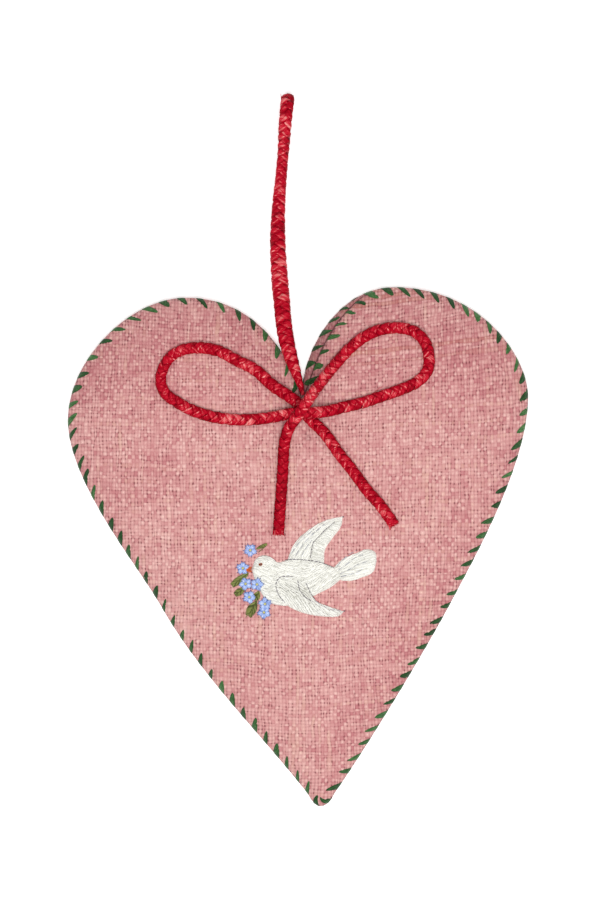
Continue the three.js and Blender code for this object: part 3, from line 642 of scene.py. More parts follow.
RIM_LENGTH = distances(smooth_line(np.vstack([rim_corners, rim_corners[:1]]), 0.1 * MM))[-1]
OUTLINE_COUNT = round(RIM_LENGTH / OUTLINE_STEP)
rim = closed_line(rim_corners, OUTLINE_COUNT)


def seam_from_rim():
    """The seam's point for each point of the rim, on the same ray from the middle."""
    inset = np.linalg.norm(rim_corners[:, :2] - seam_corners[:, :2], axis=1)
    place = distances(np.vstack([rim_corners, rim_corners[:1]]))
    rim_place = np.linspace(0, place[-1], OUTLINE_COUNT + 1)[:-1]
    inset = np.interp(rim_place, place, np.append(inset, inset[0]))
    height = np.interp(rim_place, place, np.append(seam_corners[:, 2], seam_corners[0, 2]))
    inward = unit(MIDDLE - rim[:, :2])
    return np.column_stack([rim[:, :2] + inward * inset[:, None], height])


seam = seam_from_rim()
seam_rise = seam[:, 2] - seam[:, 2].min()
print("outline:", len(rim), "points,", round(RIM_LENGTH / MM), "mm round")

# %% [markdown]
# ## Shape of the padding
#
# A padded cloth rises steeply from its seam and is nearly level in the middle. The height over a
# point depends on how far it lies inside the seam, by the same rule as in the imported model. Where
# the right lobe's seam rolls on to the front beside the notch, the cloth starts a little higher.

# %% Padding height
CROWN_HEIGHT = 9.9 * MM
CROWN_REACH = 38 * MM
CROWN_ROUNDNESS = 0.6
ROLL_FADE = 10 * MM


def tree_of(flat_points):
    tree = KDTree(len(flat_points))
    for i, (x, y) in enumerate(flat_points):
        tree.insert((x, y, 0), i)
    tree.balance()
    return tree


seam_tree = tree_of(seam[:, :2])


def depth_and_rise(flat):
    """Distance in from the seam, and the seam's extra height beside it, for each point."""
    found = [seam_tree.find((x, y, 0)) for x, y in flat]
    depth = np.array([f[2] for f in found])
    rise = seam_rise[[f[1] for f in found]]
    return depth, rise


def crown_height(flat):
    depth, rise = depth_and_rise(flat)
    short = 1 - np.minimum(depth / CROWN_REACH, 1)
    crown = CROWN_HEIGHT * (1 - short**2) ** CROWN_ROUNDNESS
    return SEAM_HEIGHT + rise * np.exp(-depth / ROLL_FADE) + crown, depth


print("height at the middle:", round(float(crown_height([MIDDLE])[0][0] / MM), 1), "mm")

# %% [markdown]
# ## Cloth simulation
#
# How a stuffed cloth settles between its seam and its middle is hard to guess, so it is simulated.
# A coarse copy of the front is held along the seam and blown up from inside for twenty frames, with
# gravity off and its movement capped. Only the difference from the first shape is kept, and the fine
# cloth takes it over, because a simulation of every yarn would take far too long.

# %% Coarse cloth
COARSE_STEP = 2.6 * MM
PRESSURE = 4.0
SIM_FRAMES = 20
MOVE_CAP = 1.3 * MM


def grid_inside(ring, step_x, step_y, margin):
    """Points of a plain grid that lie inside a ring."""
    low, high = ring[:, :2].min(axis=0), ring[:, :2].max(axis=0)
    x, y = np.meshgrid(np.arange(low[0], high[0], step_x), np.arange(low[1], high[1], step_y))
    flat = np.column_stack([x.ravel(), y.ravel()])
    return flat[inside(flat, ring, margin)]


def inside(flat, ring, margin):
    """Which points lie inside a ring by a margin; the ring has one radius for each angle."""
    ring_angle = np.arctan2(ring[:, 1] - MIDDLE[1], ring[:, 0] - MIDDLE[0])
    radius = np.hypot(ring[:, 0] - MIDDLE[0], ring[:, 1] - MIDDLE[1])
    order = np.argsort(ring_angle)
    angle = np.arctan2(flat[:, 1] - MIDDLE[1], flat[:, 0] - MIDDLE[0])
    limit = np.interp(angle, ring_angle[order], radius[order], period=2 * math.pi)
    within = np.hypot(flat[:, 0] - MIDDLE[0], flat[:, 1] - MIDDLE[1]) < limit
    depth = np.array([seam_tree.find((x, y, 0))[2] if ok else 0 for (x, y), ok in zip(flat, within)])
    return within & (depth > margin)


def triangulated(ring, flat):
    """Triangles over a ring and the points inside it; the ring's points come first."""
    points = [Vector(p) for p in ring[:, :2]] + [Vector(p) for p in flat]
    result = geometry.delaunay_2d_cdt(points, [], [list(range(len(ring)))], 1, 1e-7)
    return result[2]


def coarse_cloth():
    ring = seam[::5]
    flat = grid_inside(seam, COARSE_STEP, COARSE_STEP * 0.9, COARSE_STEP * 0.6)
    heights, _ = crown_height(flat)
    points = np.vstack([ring, np.column_stack([flat, heights])])
    mesh = bpy.data.meshes.new("coarse_cloth")
    mesh.from_pydata(points.tolist(), [], triangulated(ring, flat))
    cloth = bpy.data.objects.new("coarse_cloth", mesh)
    bpy.context.scene.collection.objects.link(cloth)
    pins = cloth.vertex_groups.new(name="seam")
    pins.add(list(range(len(ring))), 1.0, "REPLACE")
    return cloth, points


def inflate(cloth):
    modifier = cloth.modifiers.new("Cloth", "CLOTH")
    modifier.settings.quality = 6
    modifier.settings.mass = 0.3
    modifier.settings.tension_stiffness = 18
    modifier.settings.bending_stiffness = 0.6
    modifier.settings.use_pressure = True
    modifier.settings.uniform_pressure_force = PRESSURE
    modifier.settings.vertex_group_mass = "seam"
    modifier.settings.effector_weights.gravity = 0
    modifier.collision_settings.use_collision = False
    for number in range(1, SIM_FRAMES + 1):
        bpy.context.scene.frame_set(number)
    bpy.context.view_layer.objects.active = cloth
    bpy.ops.object.modifier_apply(modifier=modifier.name)
    bpy.context.scene.frame_set(1)


coarse, coarse_start = coarse_cloth()
inflate(coarse)
coarse_end = np.array([v.co for v in coarse.data.vertices])
moved = np.clip(coarse_end[:, 2] - coarse_start[:, 2], -MOVE_CAP, MOVE_CAP)
swell_points = np.column_stack([coarse_start[:, :2], moved])
swell_faces = [tuple(p.vertices) for p in coarse.data.polygons]
bpy.data.objects.remove(coarse)
print("the cloth moved by up to", round(float(abs(moved).max() / MM), 2), "mm")

# %% [markdown]
# ## Woven cloth
#
# The cloth is a plain weave: every yarn goes over one and under the next. Its yarns are strips of
# raffia, so they differ in width and wander a little. The fine mesh has a point where every two
# yarns cross and one between them, so that it carries the bumps of the weave itself, and its map
# counts the yarns, which lets the material colour each yarn on its own. A bump map alone would look
# flat from the side.

# %% Yarns
EDGE_MARGIN = 0.32 * MM  # the yarns' own points stay this far inside an edge
WARP_PITCH = 1.06 * MM
WEFT_PITCH = 1.2 * MM
YARN_RELIEF = 0.085 * MM
YARN_TILT = 0.11  # the level yarns climb towards the right lobe
DENT = 0.32 * MM


def yarn_wander(u, v):
    """How far each yarn lies from its even place, in pitches."""
    warp = 0.20 * soft_noise(u * 0.97, v * 0.05, 3) + 0.9 * soft_noise(u * 0.03, v * 0.035, 4)
    warp = warp + 0.30 * soft_noise(u * 0.93, v * 0.31, 13)
    weft = 0.18 * soft_noise(u * 0.05, v * 0.97, 5) + 0.9 * soft_noise(u * 0.035, v * 0.03, 6)
    weft = weft + 0.28 * soft_noise(u * 0.31, v * 0.93, 14)
    return warp, weft + YARN_TILT * np.clip(u - 12, 0, None) * np.clip(v / 55, 0, 1)


def yarn_place(u, v):
    warp, weft = yarn_wander(u, v)
    return np.column_stack([(u + warp) * WARP_PITCH, (v + weft) * WEFT_PITCH])


def yarn_count(flat):
    """The yarn numbers over given places, found by a few rounds of guessing."""
    even = flat[:, :2] / [WARP_PITCH, WEFT_PITCH]
    guess = even.copy()
    for _ in range(12):
        guess = even - np.column_stack(yarn_wander(guess[:, 0], guess[:, 1]))
    return guess


def weave_points(ring, margin):
    """Points at the yarns' crossings and halfway between, inside a ring, with their yarn numbers."""
    reach = np.abs(ring[:, :2]).max(axis=0) / [WARP_PITCH, WEFT_PITCH] + 3
    u, v = np.meshgrid(np.arange(-reach[0], reach[0], 0.5), np.arange(-reach[1], reach[1], 0.5))
    count = np.column_stack([np.round(u.ravel() * 2) / 2, np.round(v.ravel() * 2) / 2])
    flat = yarn_place(count[:, 0], count[:, 1])
    kept = inside(flat, ring, margin)
    return flat[kept], count[kept]


def weave_relief(count):
    return (np.cos(2 * math.pi * count[:, 0]) + np.cos(2 * math.pi * count[:, 1])) / 2


swell_tree = surface_tree(swell_points, swell_faces)
print("about", round(150 * MM / WARP_PITCH), "yarns across")

# %% Front cloth
CORD_PRESS = 0.12 * MM
CORD_HALF = 1.45 * MM
CORD_REACH = 2.3 * MM  # cloth nearer than this to a cord's middle is pressed down
EDGE_FADE = 2.2 * MM
PUCKER_DEPTH = 0.30 * MM
PUCKER_PITCH = 5.4 * MM
PUCKER_FADE = 4.5 * MM

rim_along = distances(rim)


def cord_limit(flat):
    """Highest place of the cloth where a cord lies on it."""
    samples = np.vstack([bow_line[::2], loop_line[:180:2]])
    tree = tree_of(samples[:, :2])
    limits = np.full(len(flat), 1.0)
    for i, (x, y) in enumerate(flat):
        for _, index, gap in tree.find_range((x, y, 0), CORD_REACH):
            low = samples[index, 2] - CORD_HALF + CORD_PRESS + 0.9 * MM * (gap / (2.0 * MM)) ** 2
            limits[i] = min(limits[i], low)
    return limits


def front_height(flat):
    """Final height of the front cloth, without its weave."""
    height, depth = crown_height(flat)
    inner = 1 - np.exp(-depth / EDGE_FADE)
    dents = soft_noise(flat[:, 0] / (17 * MM), flat[:, 1] / (15 * MM), 8)
    dents = dents + 0.5 * soft_noise(flat[:, 0] / (7 * MM), flat[:, 1] / (8 * MM), 9)
    found = [seam_tree.find((x, y, 0))[1] for x, y in flat]
    pucker = np.cos(2 * math.pi * rim_along[found] / PUCKER_PITCH)
    pucker = PUCKER_DEPTH * pucker * (depth / PUCKER_FADE) * np.exp(1 - depth / PUCKER_FADE)
    height = height + inner * (height_over(swell_tree, flat, 0.0) + DENT * dents) + pucker * 0.6
    return np.minimum(height, cord_limit(flat)), depth


def cloth_piece(name, points, faces, counts, shade_and_flecks, finish):
    """A cloth mapped by its yarn numbers, which also carries the painted shade and dark pulled yarns at each
    point.
    """
    mesh = bpy.data.meshes.new(name)
    mesh.from_pydata(points.tolist(), [], faces)
    corner = np.zeros(len(mesh.loops), np.int32)
    mesh.loops.foreach_get("vertex_index", corner)
    layer = mesh.uv_layers.new(name="yarns")
    layer.data.foreach_set("uv", counts[corner].astype(np.float32).ravel())
    shade = mesh.attributes.new("shade_and_flecks", "FLOAT", "POINT")
    shade.data.foreach_set("value", shade_and_flecks.astype(np.float32))
    mesh.polygons.foreach_set("use_smooth", [True] * len(mesh.polygons))
    mesh.materials.append(finish)
    cloth = bpy.data.objects.new(name, mesh)
    bpy.context.scene.collection.objects.link(cloth)
    return cloth


def close_below(cloth):
    """Fills the open edge with faces inside the padding, as the sewn edge is closed by the other cloth."""
    bpy.ops.object.select_all(action="DESELECT")
    bpy.context.view_layer.objects.active = cloth
    cloth.select_set(True)
    bpy.ops.object.mode_set(mode="EDIT")
    bpy.ops.mesh.select_mode(type="EDGE")
    bpy.ops.mesh.select_all(action="DESELECT")
    bpy.ops.mesh.select_non_manifold()
    bpy.ops.mesh.fill()
    bpy.ops.mesh.select_all(action="SELECT")
    bpy.ops.mesh.normals_make_consistent(inside=False)
    bpy.ops.object.mode_set(mode="OBJECT")
    cloth.select_set(False)


# %% [markdown]
# ## Pink cloth finish
#
# The dye takes unevenly, so each yarn has a shade of its own and changes along its length. The map
# counts the yarns: the nearest whole number names a yarn, and the rest says how far from its middle
# a point lies.
# Where the sum of the two numbers is even the upright yarn is on top, and elsewhere the level one.
# Single yarns run paler, darker, tan or rusty for a long way. Painted shade darkens the lobes, the
# lower right flank and the left edge, the small gaps that stay open where four yarns meet, and the
# ends of a yarn where it dives under the next; a painted highlight lies on the top of each yarn.

# %% Pink cloth finish


def pink_cloth():
    finish = Finish("pink_raffia_cloth", roughness=0.75, specular=0.15)
    plus, minus, scaled, rising = finish.plus, finish.minus, finish.times, finish.rising
    uv = finish.node("UVMap", {"uv_map": "yarns"}).outputs[0]
    u, v, _ = finish.parts(uv)
    warp, weft = finish.math("ROUND", u), finish.math("ROUND", v)
    level_on_top = finish.math("FLOORED_MODULO", plus(warp, weft), 2.0)

    def chosen(for_warp, for_weft):
        return finish.blend(level_on_top, for_warp, for_weft)

    def off_centre(value, whole):
        return scaled(finish.math("ABSOLUTE", minus(value, whole)), 2.0)

    beside_warp, beside_weft = off_centre(u, warp), off_centre(v, weft)
    warp_shade = finish.random(finish.vector(warp, 7.0, 1.0))
    weft_shade = finish.random(finish.vector(11.0, weft, 2.0))
    warp_drift = finish.noise(finish.vector(scaled(warp, 5.3), scaled(v, 0.09)), 1.0, 3.0)
    weft_drift = finish.noise(finish.vector(scaled(u, 0.09), scaled(weft, 5.3), 9.0), 1.0, 3.0)
    broad = finish.noise(finish.vector(scaled(u, 0.035), scaled(v, 0.04), 4.0), 1.0, 2.0)
    cell = finish.random(finish.vector(warp, weft, 3.0))
    fibres = finish.noise(finish.vector(scaled(u, chosen(6.0, 1.0)), scaled(v, chosen(1.0, 6.0))), 1.0, 2.0)

    tone = scaled(finish.blend(0.5, warp_drift, weft_drift), 0.30)
    tone = plus(tone, scaled(finish.blend(0.5, warp_shade, weft_shade), 0.08))
    tone = plus(tone, scaled(broad, 0.17))
    tone = plus(tone, scaled(minus(fibres, 0.5), 0.36))
    tone = plus(tone, scaled(minus(cell, 0.5), 0.20))
    tone = plus(tone, 0.365)
    # Painted shade: darker over the lobes, along the lower right flank and along the left edge
    lobes = rising(scaled(v, 0.01), 0.28, 0.42)
    right_flank = minus(scaled(u, 0.00906), scaled(v, 0.00624))
    painted_edge_shade = plus(scaled(lobes, 0.07), scaled(rising(right_flank, 0.32, 0.46), 0.06))
    painted_edge_shade = plus(painted_edge_shade, scaled(rising(scaled(u, -0.01), 0.48, 0.66), 0.04))
    tone = minus(tone, painted_edge_shade)
    tone = minus(tone, scaled(level_on_top, 0.05))
    colour = finish.ramp(tone, [
        (0.42, srgb(190, 117, 121)),
        (0.56, srgb(210, 149, 147)),
        (0.68, srgb(220, 165, 161)),
        (0.84, srgb(234, 189, 182)),
    ])
    tan = scaled(rising(warp_drift, 0.54, 0.68), 0.34)
    tan_yarn = finish.math("GREATER_THAN", warp_shade, 0.72)
    colour = finish.mix(scaled(tan_yarn, tan), colour, srgb(214, 172, 148))
    upper_right = scaled(rising(scaled(u, 0.01), 0.06, 0.16), rising(scaled(v, 0.01), 0.44, 0.52))
    rust = plus(scaled(rising(weft_drift, 0.56, 0.68), 0.4), scaled(upper_right, 0.8))
    rust_yarn = finish.math("GREATER_THAN", weft_shade, 0.82)
    colour = finish.mix(scaled(scaled(rust_yarn, rust), fibres), colour, srgb(176, 98, 84))

    level_streak = finish.noise(finish.vector(scaled(u, 0.03), scaled(weft, 7.7), 21.0), 1.0, 1.0)
    upright_streak = finish.noise(finish.vector(scaled(warp, 7.7), scaled(v, 0.03), 22.0), 1.0, 1.0)
    pale_level = scaled(rising(level_streak, 0.60, 0.68), scaled(level_on_top, 0.28))
    dark_level = scaled(minus(1.0, rising(level_streak, 0.30, 0.38)), scaled(level_on_top, 0.24))
    upright = minus(1.0, level_on_top)
    pale_upright = scaled(rising(upright_streak, 0.62, 0.70), scaled(upright, 0.28))
    colour = finish.mix(dark_level, colour, srgb(186, 108, 112))
    colour = finish.mix(finish.math("MAXIMUM", pale_level, pale_upright), colour, srgb(230, 186, 164))

    # Painted highlight on the top of each yarn where it crosses another
    top = scaled(minus(1.0, rising(beside_warp, 0.05, 0.62)),
                 minus(1.0, rising(beside_weft, 0.10, 0.72)))
    painted_gleam = scaled(scaled(top, plus(scaled(finish.math("POWER", cell, 1.6), 0.95), 0.24)),
                   minus(0.64, scaled(level_on_top, 0.20)))
    colour = finish.mix(painted_gleam, colour, srgb(255, 216, 204))
    # Painted shade in the gaps where four yarns meet, in the slits between upright yarns and at the ends of
    # a yarn where it dives under the next, stronger where the weave is open
    openness = finish.noise(finish.vector(scaled(u, 0.31), scaled(v, 0.24), 6.0), 1.0, 3.0)
    openness = rising(openness, 0.36, 0.68, 0.3)
    hole_size = finish.random(finish.vector(finish.math("FLOOR", u), finish.math("FLOOR", v), 8.0))
    corner = scaled(rising(beside_warp, 0.42, 0.92), rising(beside_weft, 0.25, 0.85))
    corner = scaled(corner, plus(scaled(finish.math("POWER", hole_size, 1.5), 1.35), 0.14))
    columns = rising(finish.noise(finish.vector(scaled(u, 0.8), scaled(v, 0.11), 12.0), 1.0, 1.0), 0.5, 0.62)
    slit = scaled(rising(beside_warp, 0.62, 1.0), plus(scaled(columns, 0.28), 0.10))
    dive = finish.math("POWER", chosen(beside_weft, beside_warp), 3.0)
    gap = plus(scaled(corner, 0.95), plus(scaled(slit, 0.6), scaled(dive, 0.14)))
    gap = finish.math("MINIMUM", scaled(gap, openness), 0.85)
    colour = finish.mix(gap, colour, srgb(122, 58, 62))
    # Painted shade along the fold by the seam and over the rolled band, and the dark pulled yarns, come from
    # the mesh
    shade_and_flecks = finish.node("Attribute", {"attribute_name": "shade_and_flecks"}).outputs["Fac"]
    finish.colour(finish.mix(scaled(shade_and_flecks, 0.7), colour, srgb(118, 62, 70)))
    height = minus(plus(scaled(top, 0.5), scaled(fibres, 0.25)), gap)
    finish.bump(height, 0.16 * MM, 0.9)
    finish.shader.inputs["Sheen Weight"].default_value = 0.06
    return finish.material


PINK_CLOTH = pink_cloth()
print("finish:", PINK_CLOTH.name)

# %% Front cloth in place
SEAM_GAP = 0.12 * MM
CREASE_WIDTH = 0.45 * MM
FLECK_PIXELS = [(305.6, 433.2), (308.4, 436.0), (304.8, 438.4), (309.2, 439.6)]  # dark pulled yarns
FLECK_SIZE = 0.42 * MM

roll = np.linalg.norm(rim[:, :2] - seam[:, :2], axis=1)
rolled = np.clip(roll / MM, 0, 1)
front_ring = seam.copy()
front_ring[:, 2] = SEAM_HEIGHT + seam_rise + SEAM_GAP
front_flat, front_count = weave_points(seam, EDGE_MARGIN)
front_level, front_depth = front_height(front_flat)
front_level = front_level + YARN_RELIEF * weave_relief(front_count)
beside = [seam_tree.find((x, y, 0))[1] for x, y in front_flat]
fleck_tree = tree_of(photo_place(FLECK_PIXELS))
from_fleck = np.array([fleck_tree.find((x, y, 0))[2] for x, y in front_flat])
# Painted shade along the fold where the rolled seam meets the front
seam_shade = 0.8 * rolled[beside] * np.exp(-((front_depth / CREASE_WIDTH) ** 2))
near_fleck = np.exp(-((from_fleck / FLECK_SIZE) ** 2))
front_shade_and_flecks = np.concatenate([rolled, np.maximum(seam_shade, near_fleck)])
front_points = np.vstack([front_ring, np.column_stack([front_flat, front_level])])
front_counts = np.vstack([yarn_count(front_ring), front_count])
front_faces = triangulated(front_ring, front_flat)
front_cloth = cloth_piece("front_cloth", front_points, front_faces, front_counts, front_shade_and_flecks, PINK_CLOTH)
front_tree = tree_over(front_cloth)
close_below(front_cloth)
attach(front_cloth, "root")
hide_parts("front_panel")
print("front cloth:", len(front_cloth.data.vertices), "points")

# %% [markdown]
# ## Back cloth
#
# The back is plainer. It lies flat on the table, so it needs no simulation: its height depends only
# on how far a point lies inside the rim. Strips of the same cloth run up from the rim to the seam,
# and beside the notch, where the seam rolls on to the front, painted shade makes them a darker band.

# %% Back cloth
BACK_ROUND = 3.2 * MM  # width of the rounded lower edge
BAND_STEPS = 6
BAND_SWELL = 0.8 * MM
BAND_SHADE = 0.55  # painted shade: the rolled edge faces away from the light

rim_tree = tree_of(rim[:, :2])


def rim_depth(flat):
    return np.array([rim_tree.find((x, y, 0))[2] for x, y in flat])


def back_height(flat):
    return RIM_HEIGHT * np.clip(1 - rim_depth(flat) / BACK_ROUND, 0, 1) ** 2


def band_rings():
    """Rings of points from just above the rim up to the seam, and how much painted shade each gets."""
    for k in range(1, BAND_STEPS + 1):
        share = k / BAND_STEPS
        ring = rim * (1 - share) + seam * share
        ring[:, 2] += BAND_SWELL * math.sin(math.pi * share) ** 0.8 * rolled
        if k == BAND_STEPS:
            ring[:, 2] = SEAM_HEIGHT + seam_rise - SEAM_GAP
        climb = (ring[:, 2] - rim[:, 2]) / WEFT_PITCH
        count = yarn_count(ring) + np.column_stack([climb * 0.4, climb * 0.6])
        yield ring, count, rolled * (BAND_SHADE + 0.7 * share**6)


def make_back_cloth():
    flat, count = weave_points(rim, 0.0)
    kept = rim_depth(flat) > EDGE_MARGIN
    flat, count = flat[kept], count[kept]
    level = back_height(flat) + YARN_RELIEF * 0.5 * (1 - weave_relief(count))
    points = [rim, np.column_stack([flat, level])]
    counts = [yarn_count(rim), count]
    painted_shades = [rolled * BAND_SHADE, np.zeros(len(flat))]
    faces = [tuple(reversed(face)) for face in triangulated(rim, flat)]
    number, total = len(rim), len(rim) + len(flat)
    below = 0
    for ring, ring_count, shade_and_flecks in band_rings():
        points.append(ring)
        counts.append(ring_count)
        painted_shades.append(shade_and_flecks)
        for i in range(number):
            j = (i + 1) % number
            faces.append((below + i, below + j, total + j, total + i))
        below, total = total, total + number
    return cloth_piece(
        "back_cloth", np.vstack(points), faces, np.vstack(counts), np.concatenate(painted_shades), PINK_CLOTH,
    )


back_cloth = make_back_cloth()
band_tree = tree_over(back_cloth)
close_below(back_cloth)
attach(back_cloth, "root")
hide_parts("back_panel")
print("back cloth:", len(back_cloth.data.vertices), "points")

# %% [markdown]
# ## Thread and strip
#
# Every stitch is a short length of thread or strip that narrows where it goes through the cloth. It
# could be drawn anew each time, but it is quicker and more even to model one and lay copies of it.
# One end face is extruded and scaled step by step into a slim closed shape one unit long, and each
# copy is then bent along its own line on the cloth.

# %% Model of one stitch


def stitch_model(name, sides, profile):
    """A closed slim shape from x 0 to 1; the profile gives its width at each step."""
    bpy.ops.object.select_all(action="DESELECT")
    bpy.ops.mesh.primitive_circle_add(
        vertices=sides, radius=0.5, fill_type="NGON", location=(0, 0, 0), rotation=(0, math.pi / 2, 0),
    )
    model = bpy.context.object
    model.name = name
    bpy.ops.object.transform_apply(location=False, rotation=True, scale=False)
    bpy.ops.object.mode_set(mode="EDIT")
    bpy.ops.mesh.select_all(action="SELECT")
    bpy.ops.transform.resize(value=(1, profile[0], profile[0]), center_override=(0, 0, 0))
    step = 1 / (len(profile) - 1)
    for before, after in zip(profile, profile[1:]):
        bpy.ops.mesh.extrude_region_move(TRANSFORM_OT_translate={"value": (step, 0, 0)})
        ratio = after / before
        bpy.ops.transform.resize(value=(1, ratio, ratio), center_override=(0, 0, 0))
    bpy.ops.mesh.select_all(action="SELECT")
    bpy.ops.mesh.normals_make_consistent(inside=False)
    bpy.ops.object.mode_set(mode="OBJECT")
    points = np.array([v.co for v in model.data.vertices])
    faces = [tuple(p.vertices) for p in model.data.polygons]
    bpy.data.objects.remove(model)
    return points, faces


THREAD = stitch_model("thread", 6, [0.35, 0.8, 1.0, 1.0, 1.0, 1.0, 1.0, 0.8, 0.35])
print("thread model:", len(THREAD[0]), "points,", len(THREAD[1]), "faces")

# %% Laying a copy along a line


def lay(batch, model, line, widths, thickness, tint, v_start=0.0, side_hint=None):
    """Bends a copy of a model along a line; its width lies across the line, or along a given direction."""
    points, faces = model
    along = distances(line)
    share = along / along[-1]
    place = points[:, 0]
    at = sampled(line, share, place)
    forward = unit(np.gradient(line, axis=0))
    if side_hint is None:
        side = unit(np.cross(np.broadcast_to(UP, forward.shape), forward))
    else:
        side = np.broadcast_to(side_hint, forward.shape)
    rise = unit(np.cross(forward, side))
    side, rise = sampled(side, share, place), sampled(rise, share, place)
    width = np.interp(place, np.linspace(0, 1, len(widths)), widths)
    moved = at + side * (points[:, 1] * width)[:, None] + rise * (points[:, 2] * thickness)[:, None]
    turn = np.arctan2(points[:, 2], points[:, 1]) / (2 * math.pi) + 0.5
    length = v_start + place * along[-1] / MM
    uvs = [(turn[i], length[i]) for face in faces for i in face]
    batch.shape(moved, faces, uvs, tint)


def on_cloth(flat, lift):
    """Heights of a line that lies on the front cloth."""
    return np.column_stack([flat, height_over(front_tree, flat, SEAM_HEIGHT) + lift])


print("ready to sew")

# %% [markdown]
# ## Edge stitches
#
# The two cloths are held together by whip stitches: a flat strip of green raffia comes up through
# the front, goes slanting over the edge and back in from behind. Seen from the front each stitch is
# a small wedge, widest along the edge and narrow and blunt at its end. Beside the notch, where the
# edge rolls on to the front, it shows in two parts with the seam between them. The strip never lies
# twice the same, so each stitch has its own width, slant and tint.

# %% Green raffia finish


def green_raffia():
    finish = Finish("green_raffia", roughness=0.5, specular=0.14)
    plus, times = finish.plus, finish.times
    around, along, tint = finish.strand_map()
    grain = finish.vector(times(around, 14.0), times(along, 0.4), times(tint, 30.0))
    fibres = finish.noise(grain, 2.0, 3.0)
    finish.colour(finish.ramp(plus(times(fibres, 0.75), times(tint, 0.3)), [
        (0.30, srgb(26, 46, 26)),
        (0.48, srgb(44, 80, 42)),
        (0.62, srgb(64, 108, 58)),
        (0.80, srgb(108, 148, 94)),
    ]))
    finish.bump(fibres, 0.15 * MM, 0.9)
    return finish.material


GREEN_RAFFIA = green_raffia()
STRIP = stitch_model("strip", 8, [0.35, 0.8, 1] + [1] * 13 + [0.9, 0.75, 0.4])

# %% Whip stitches
STITCH_PITCH = 5.4 * MM
NOTCH_MARGIN = 6 * MM
STRIP_WIDTH = 2.7 * MM
STITCH_REACH = 2.7 * MM
FRONT_LEAN = 0.92  # shift along the edge for each millimetre that a stitch runs in over the front
BAND_LEAN = 1.15  # the same over the rolled band beside the notch
ROLLED_BAND = 0.5 * MM  # a wider band shows the stitch in two parts, divided by the seam
STRIP_THICKNESS = 0.2 * MM
BEND_LEVEL = 4.1 * MM  # height at which a stitch bends from the edge on to the front
STITCH_COUNT = int((RIM_LENGTH - 2 * NOTCH_MARGIN) / STITCH_PITCH)
TIP_PLACE = rim_along[np.argmin(rim[:, 1])]
LEFT_LOBE = 90 * MM  # outline on the left of the notch where the stitches are wider apart

partner = np.array([seam_tree.find((x, y, 0))[1] for x, y in rim[:, :2]])
beside_rim = seam[partner]  # the seam's nearest point to each point of the rim


def on_ring(ring, place):
    """A place on a ring of points that runs with the rim, at a distance from the notch."""
    loop = np.append(rim_along, RIM_LENGTH)
    return np.array([np.interp(place % RIM_LENGTH, loop, np.append(column, column[0])) for column in ring.T])


def edge_at(distance):
    """The rim, the seam and the direction into the heart at a distance from the notch."""
    place = distance % RIM_LENGTH
    ahead, behind = on_ring(rim[:, :2], place + 0.8 * MM), on_ring(rim[:, :2], place - 0.8 * MM)
    along = unit(ahead - behind)
    return on_ring(rim, place), on_ring(beside_rim, place), np.array([-along[1], along[0]])


def stitch_places(random):
    """Distances of the stitches from the notch, uneven as sewn by hand."""
    gaps = 1 + 0.13 * soft_noise(np.arange(STITCH_COUNT - 1) * 0.9, 0.5, 21)
    gaps = gaps + random.uniform(-0.07, 0.07, STITCH_COUNT - 1)
    rough = np.cumsum(gaps) / gaps.sum() * RIM_LENGTH
    gaps = gaps * np.where(rough < LEFT_LOBE, 1.13, 0.98)
    places = np.concatenate([[0.0], np.cumsum(gaps)])
    return NOTCH_MARGIN * 0.8 + places / places[-1] * (RIM_LENGTH - 1.6 * NOTCH_MARGIN)


def edge_line(centre, slope):
    """From under the back, round the edge and up over the rim."""
    line = []
    for depth, level in ((1.7, 0.35), (0.9, 0.75), (0.25, 2.0), (0.0, 2.9), (-0.02, 3.5)):
        base, _, inward = edge_at(centre + slope * (3.5 - level) * 0.35 * MM)
        line.append((*(base[:2] + inward * depth * MM), level * MM))
    return line


def band_line(centre, slope):
    """On over the rolled band, into the seam."""
    base, top, _ = edge_at(centre)
    width = np.linalg.norm(top[:2] - base[:2])
    steps = max(2, round(width / (0.45 * MM)))
    line = []
    for share in np.linspace(0.1, 1, steps):
        base, top, _ = edge_at(centre - slope * BAND_LEAN * width * share)
        spot = base[:2] * (1 - share) + top[:2] * share
        line.append((*spot, height_over(band_tree, [spot], base[2])[0] + 0.13 * MM))
    return line


def front_line(centre, reach, slope):
    """From the seam to the end on the front."""
    line = []
    for share in (0.0, 0.08, 0.2, 0.35, 0.5, 0.75, 1.0):
        _, top, inward = edge_at(centre - slope * FRONT_LEAN * share * reach)
        spot = top[:2] + inward * max(share * reach, 0.05 * MM)
        level = height_over(front_tree, [spot], top[2])[0]
        line.append((*spot, max(level, top[2]) + (0.12 - 0.05 * share) * MM))
    return line


def sew_edge(batch, line, turn_index, width, ends, along, tint):
    """Lays a strip whose width follows the edge: fullest where it turns over it, slim at its end."""
    places = distances(np.array(line))
    turn = places[turn_index] / places[-1]
    share = np.linspace(0, 1, 40)
    knots = [0, turn, turn + 0.5 * (1 - turn), 1]
    widths = width * np.interp(share, knots, [ends[0], 1.0, (1 + ends[1]) / 2 + 0.08, ends[1]])
    fine = smooth_line(line, 0.2 * MM)
    lay(batch, STRIP, fine, widths, STRIP_THICKNESS, tint, v_start=200 * tint, side_hint=along)


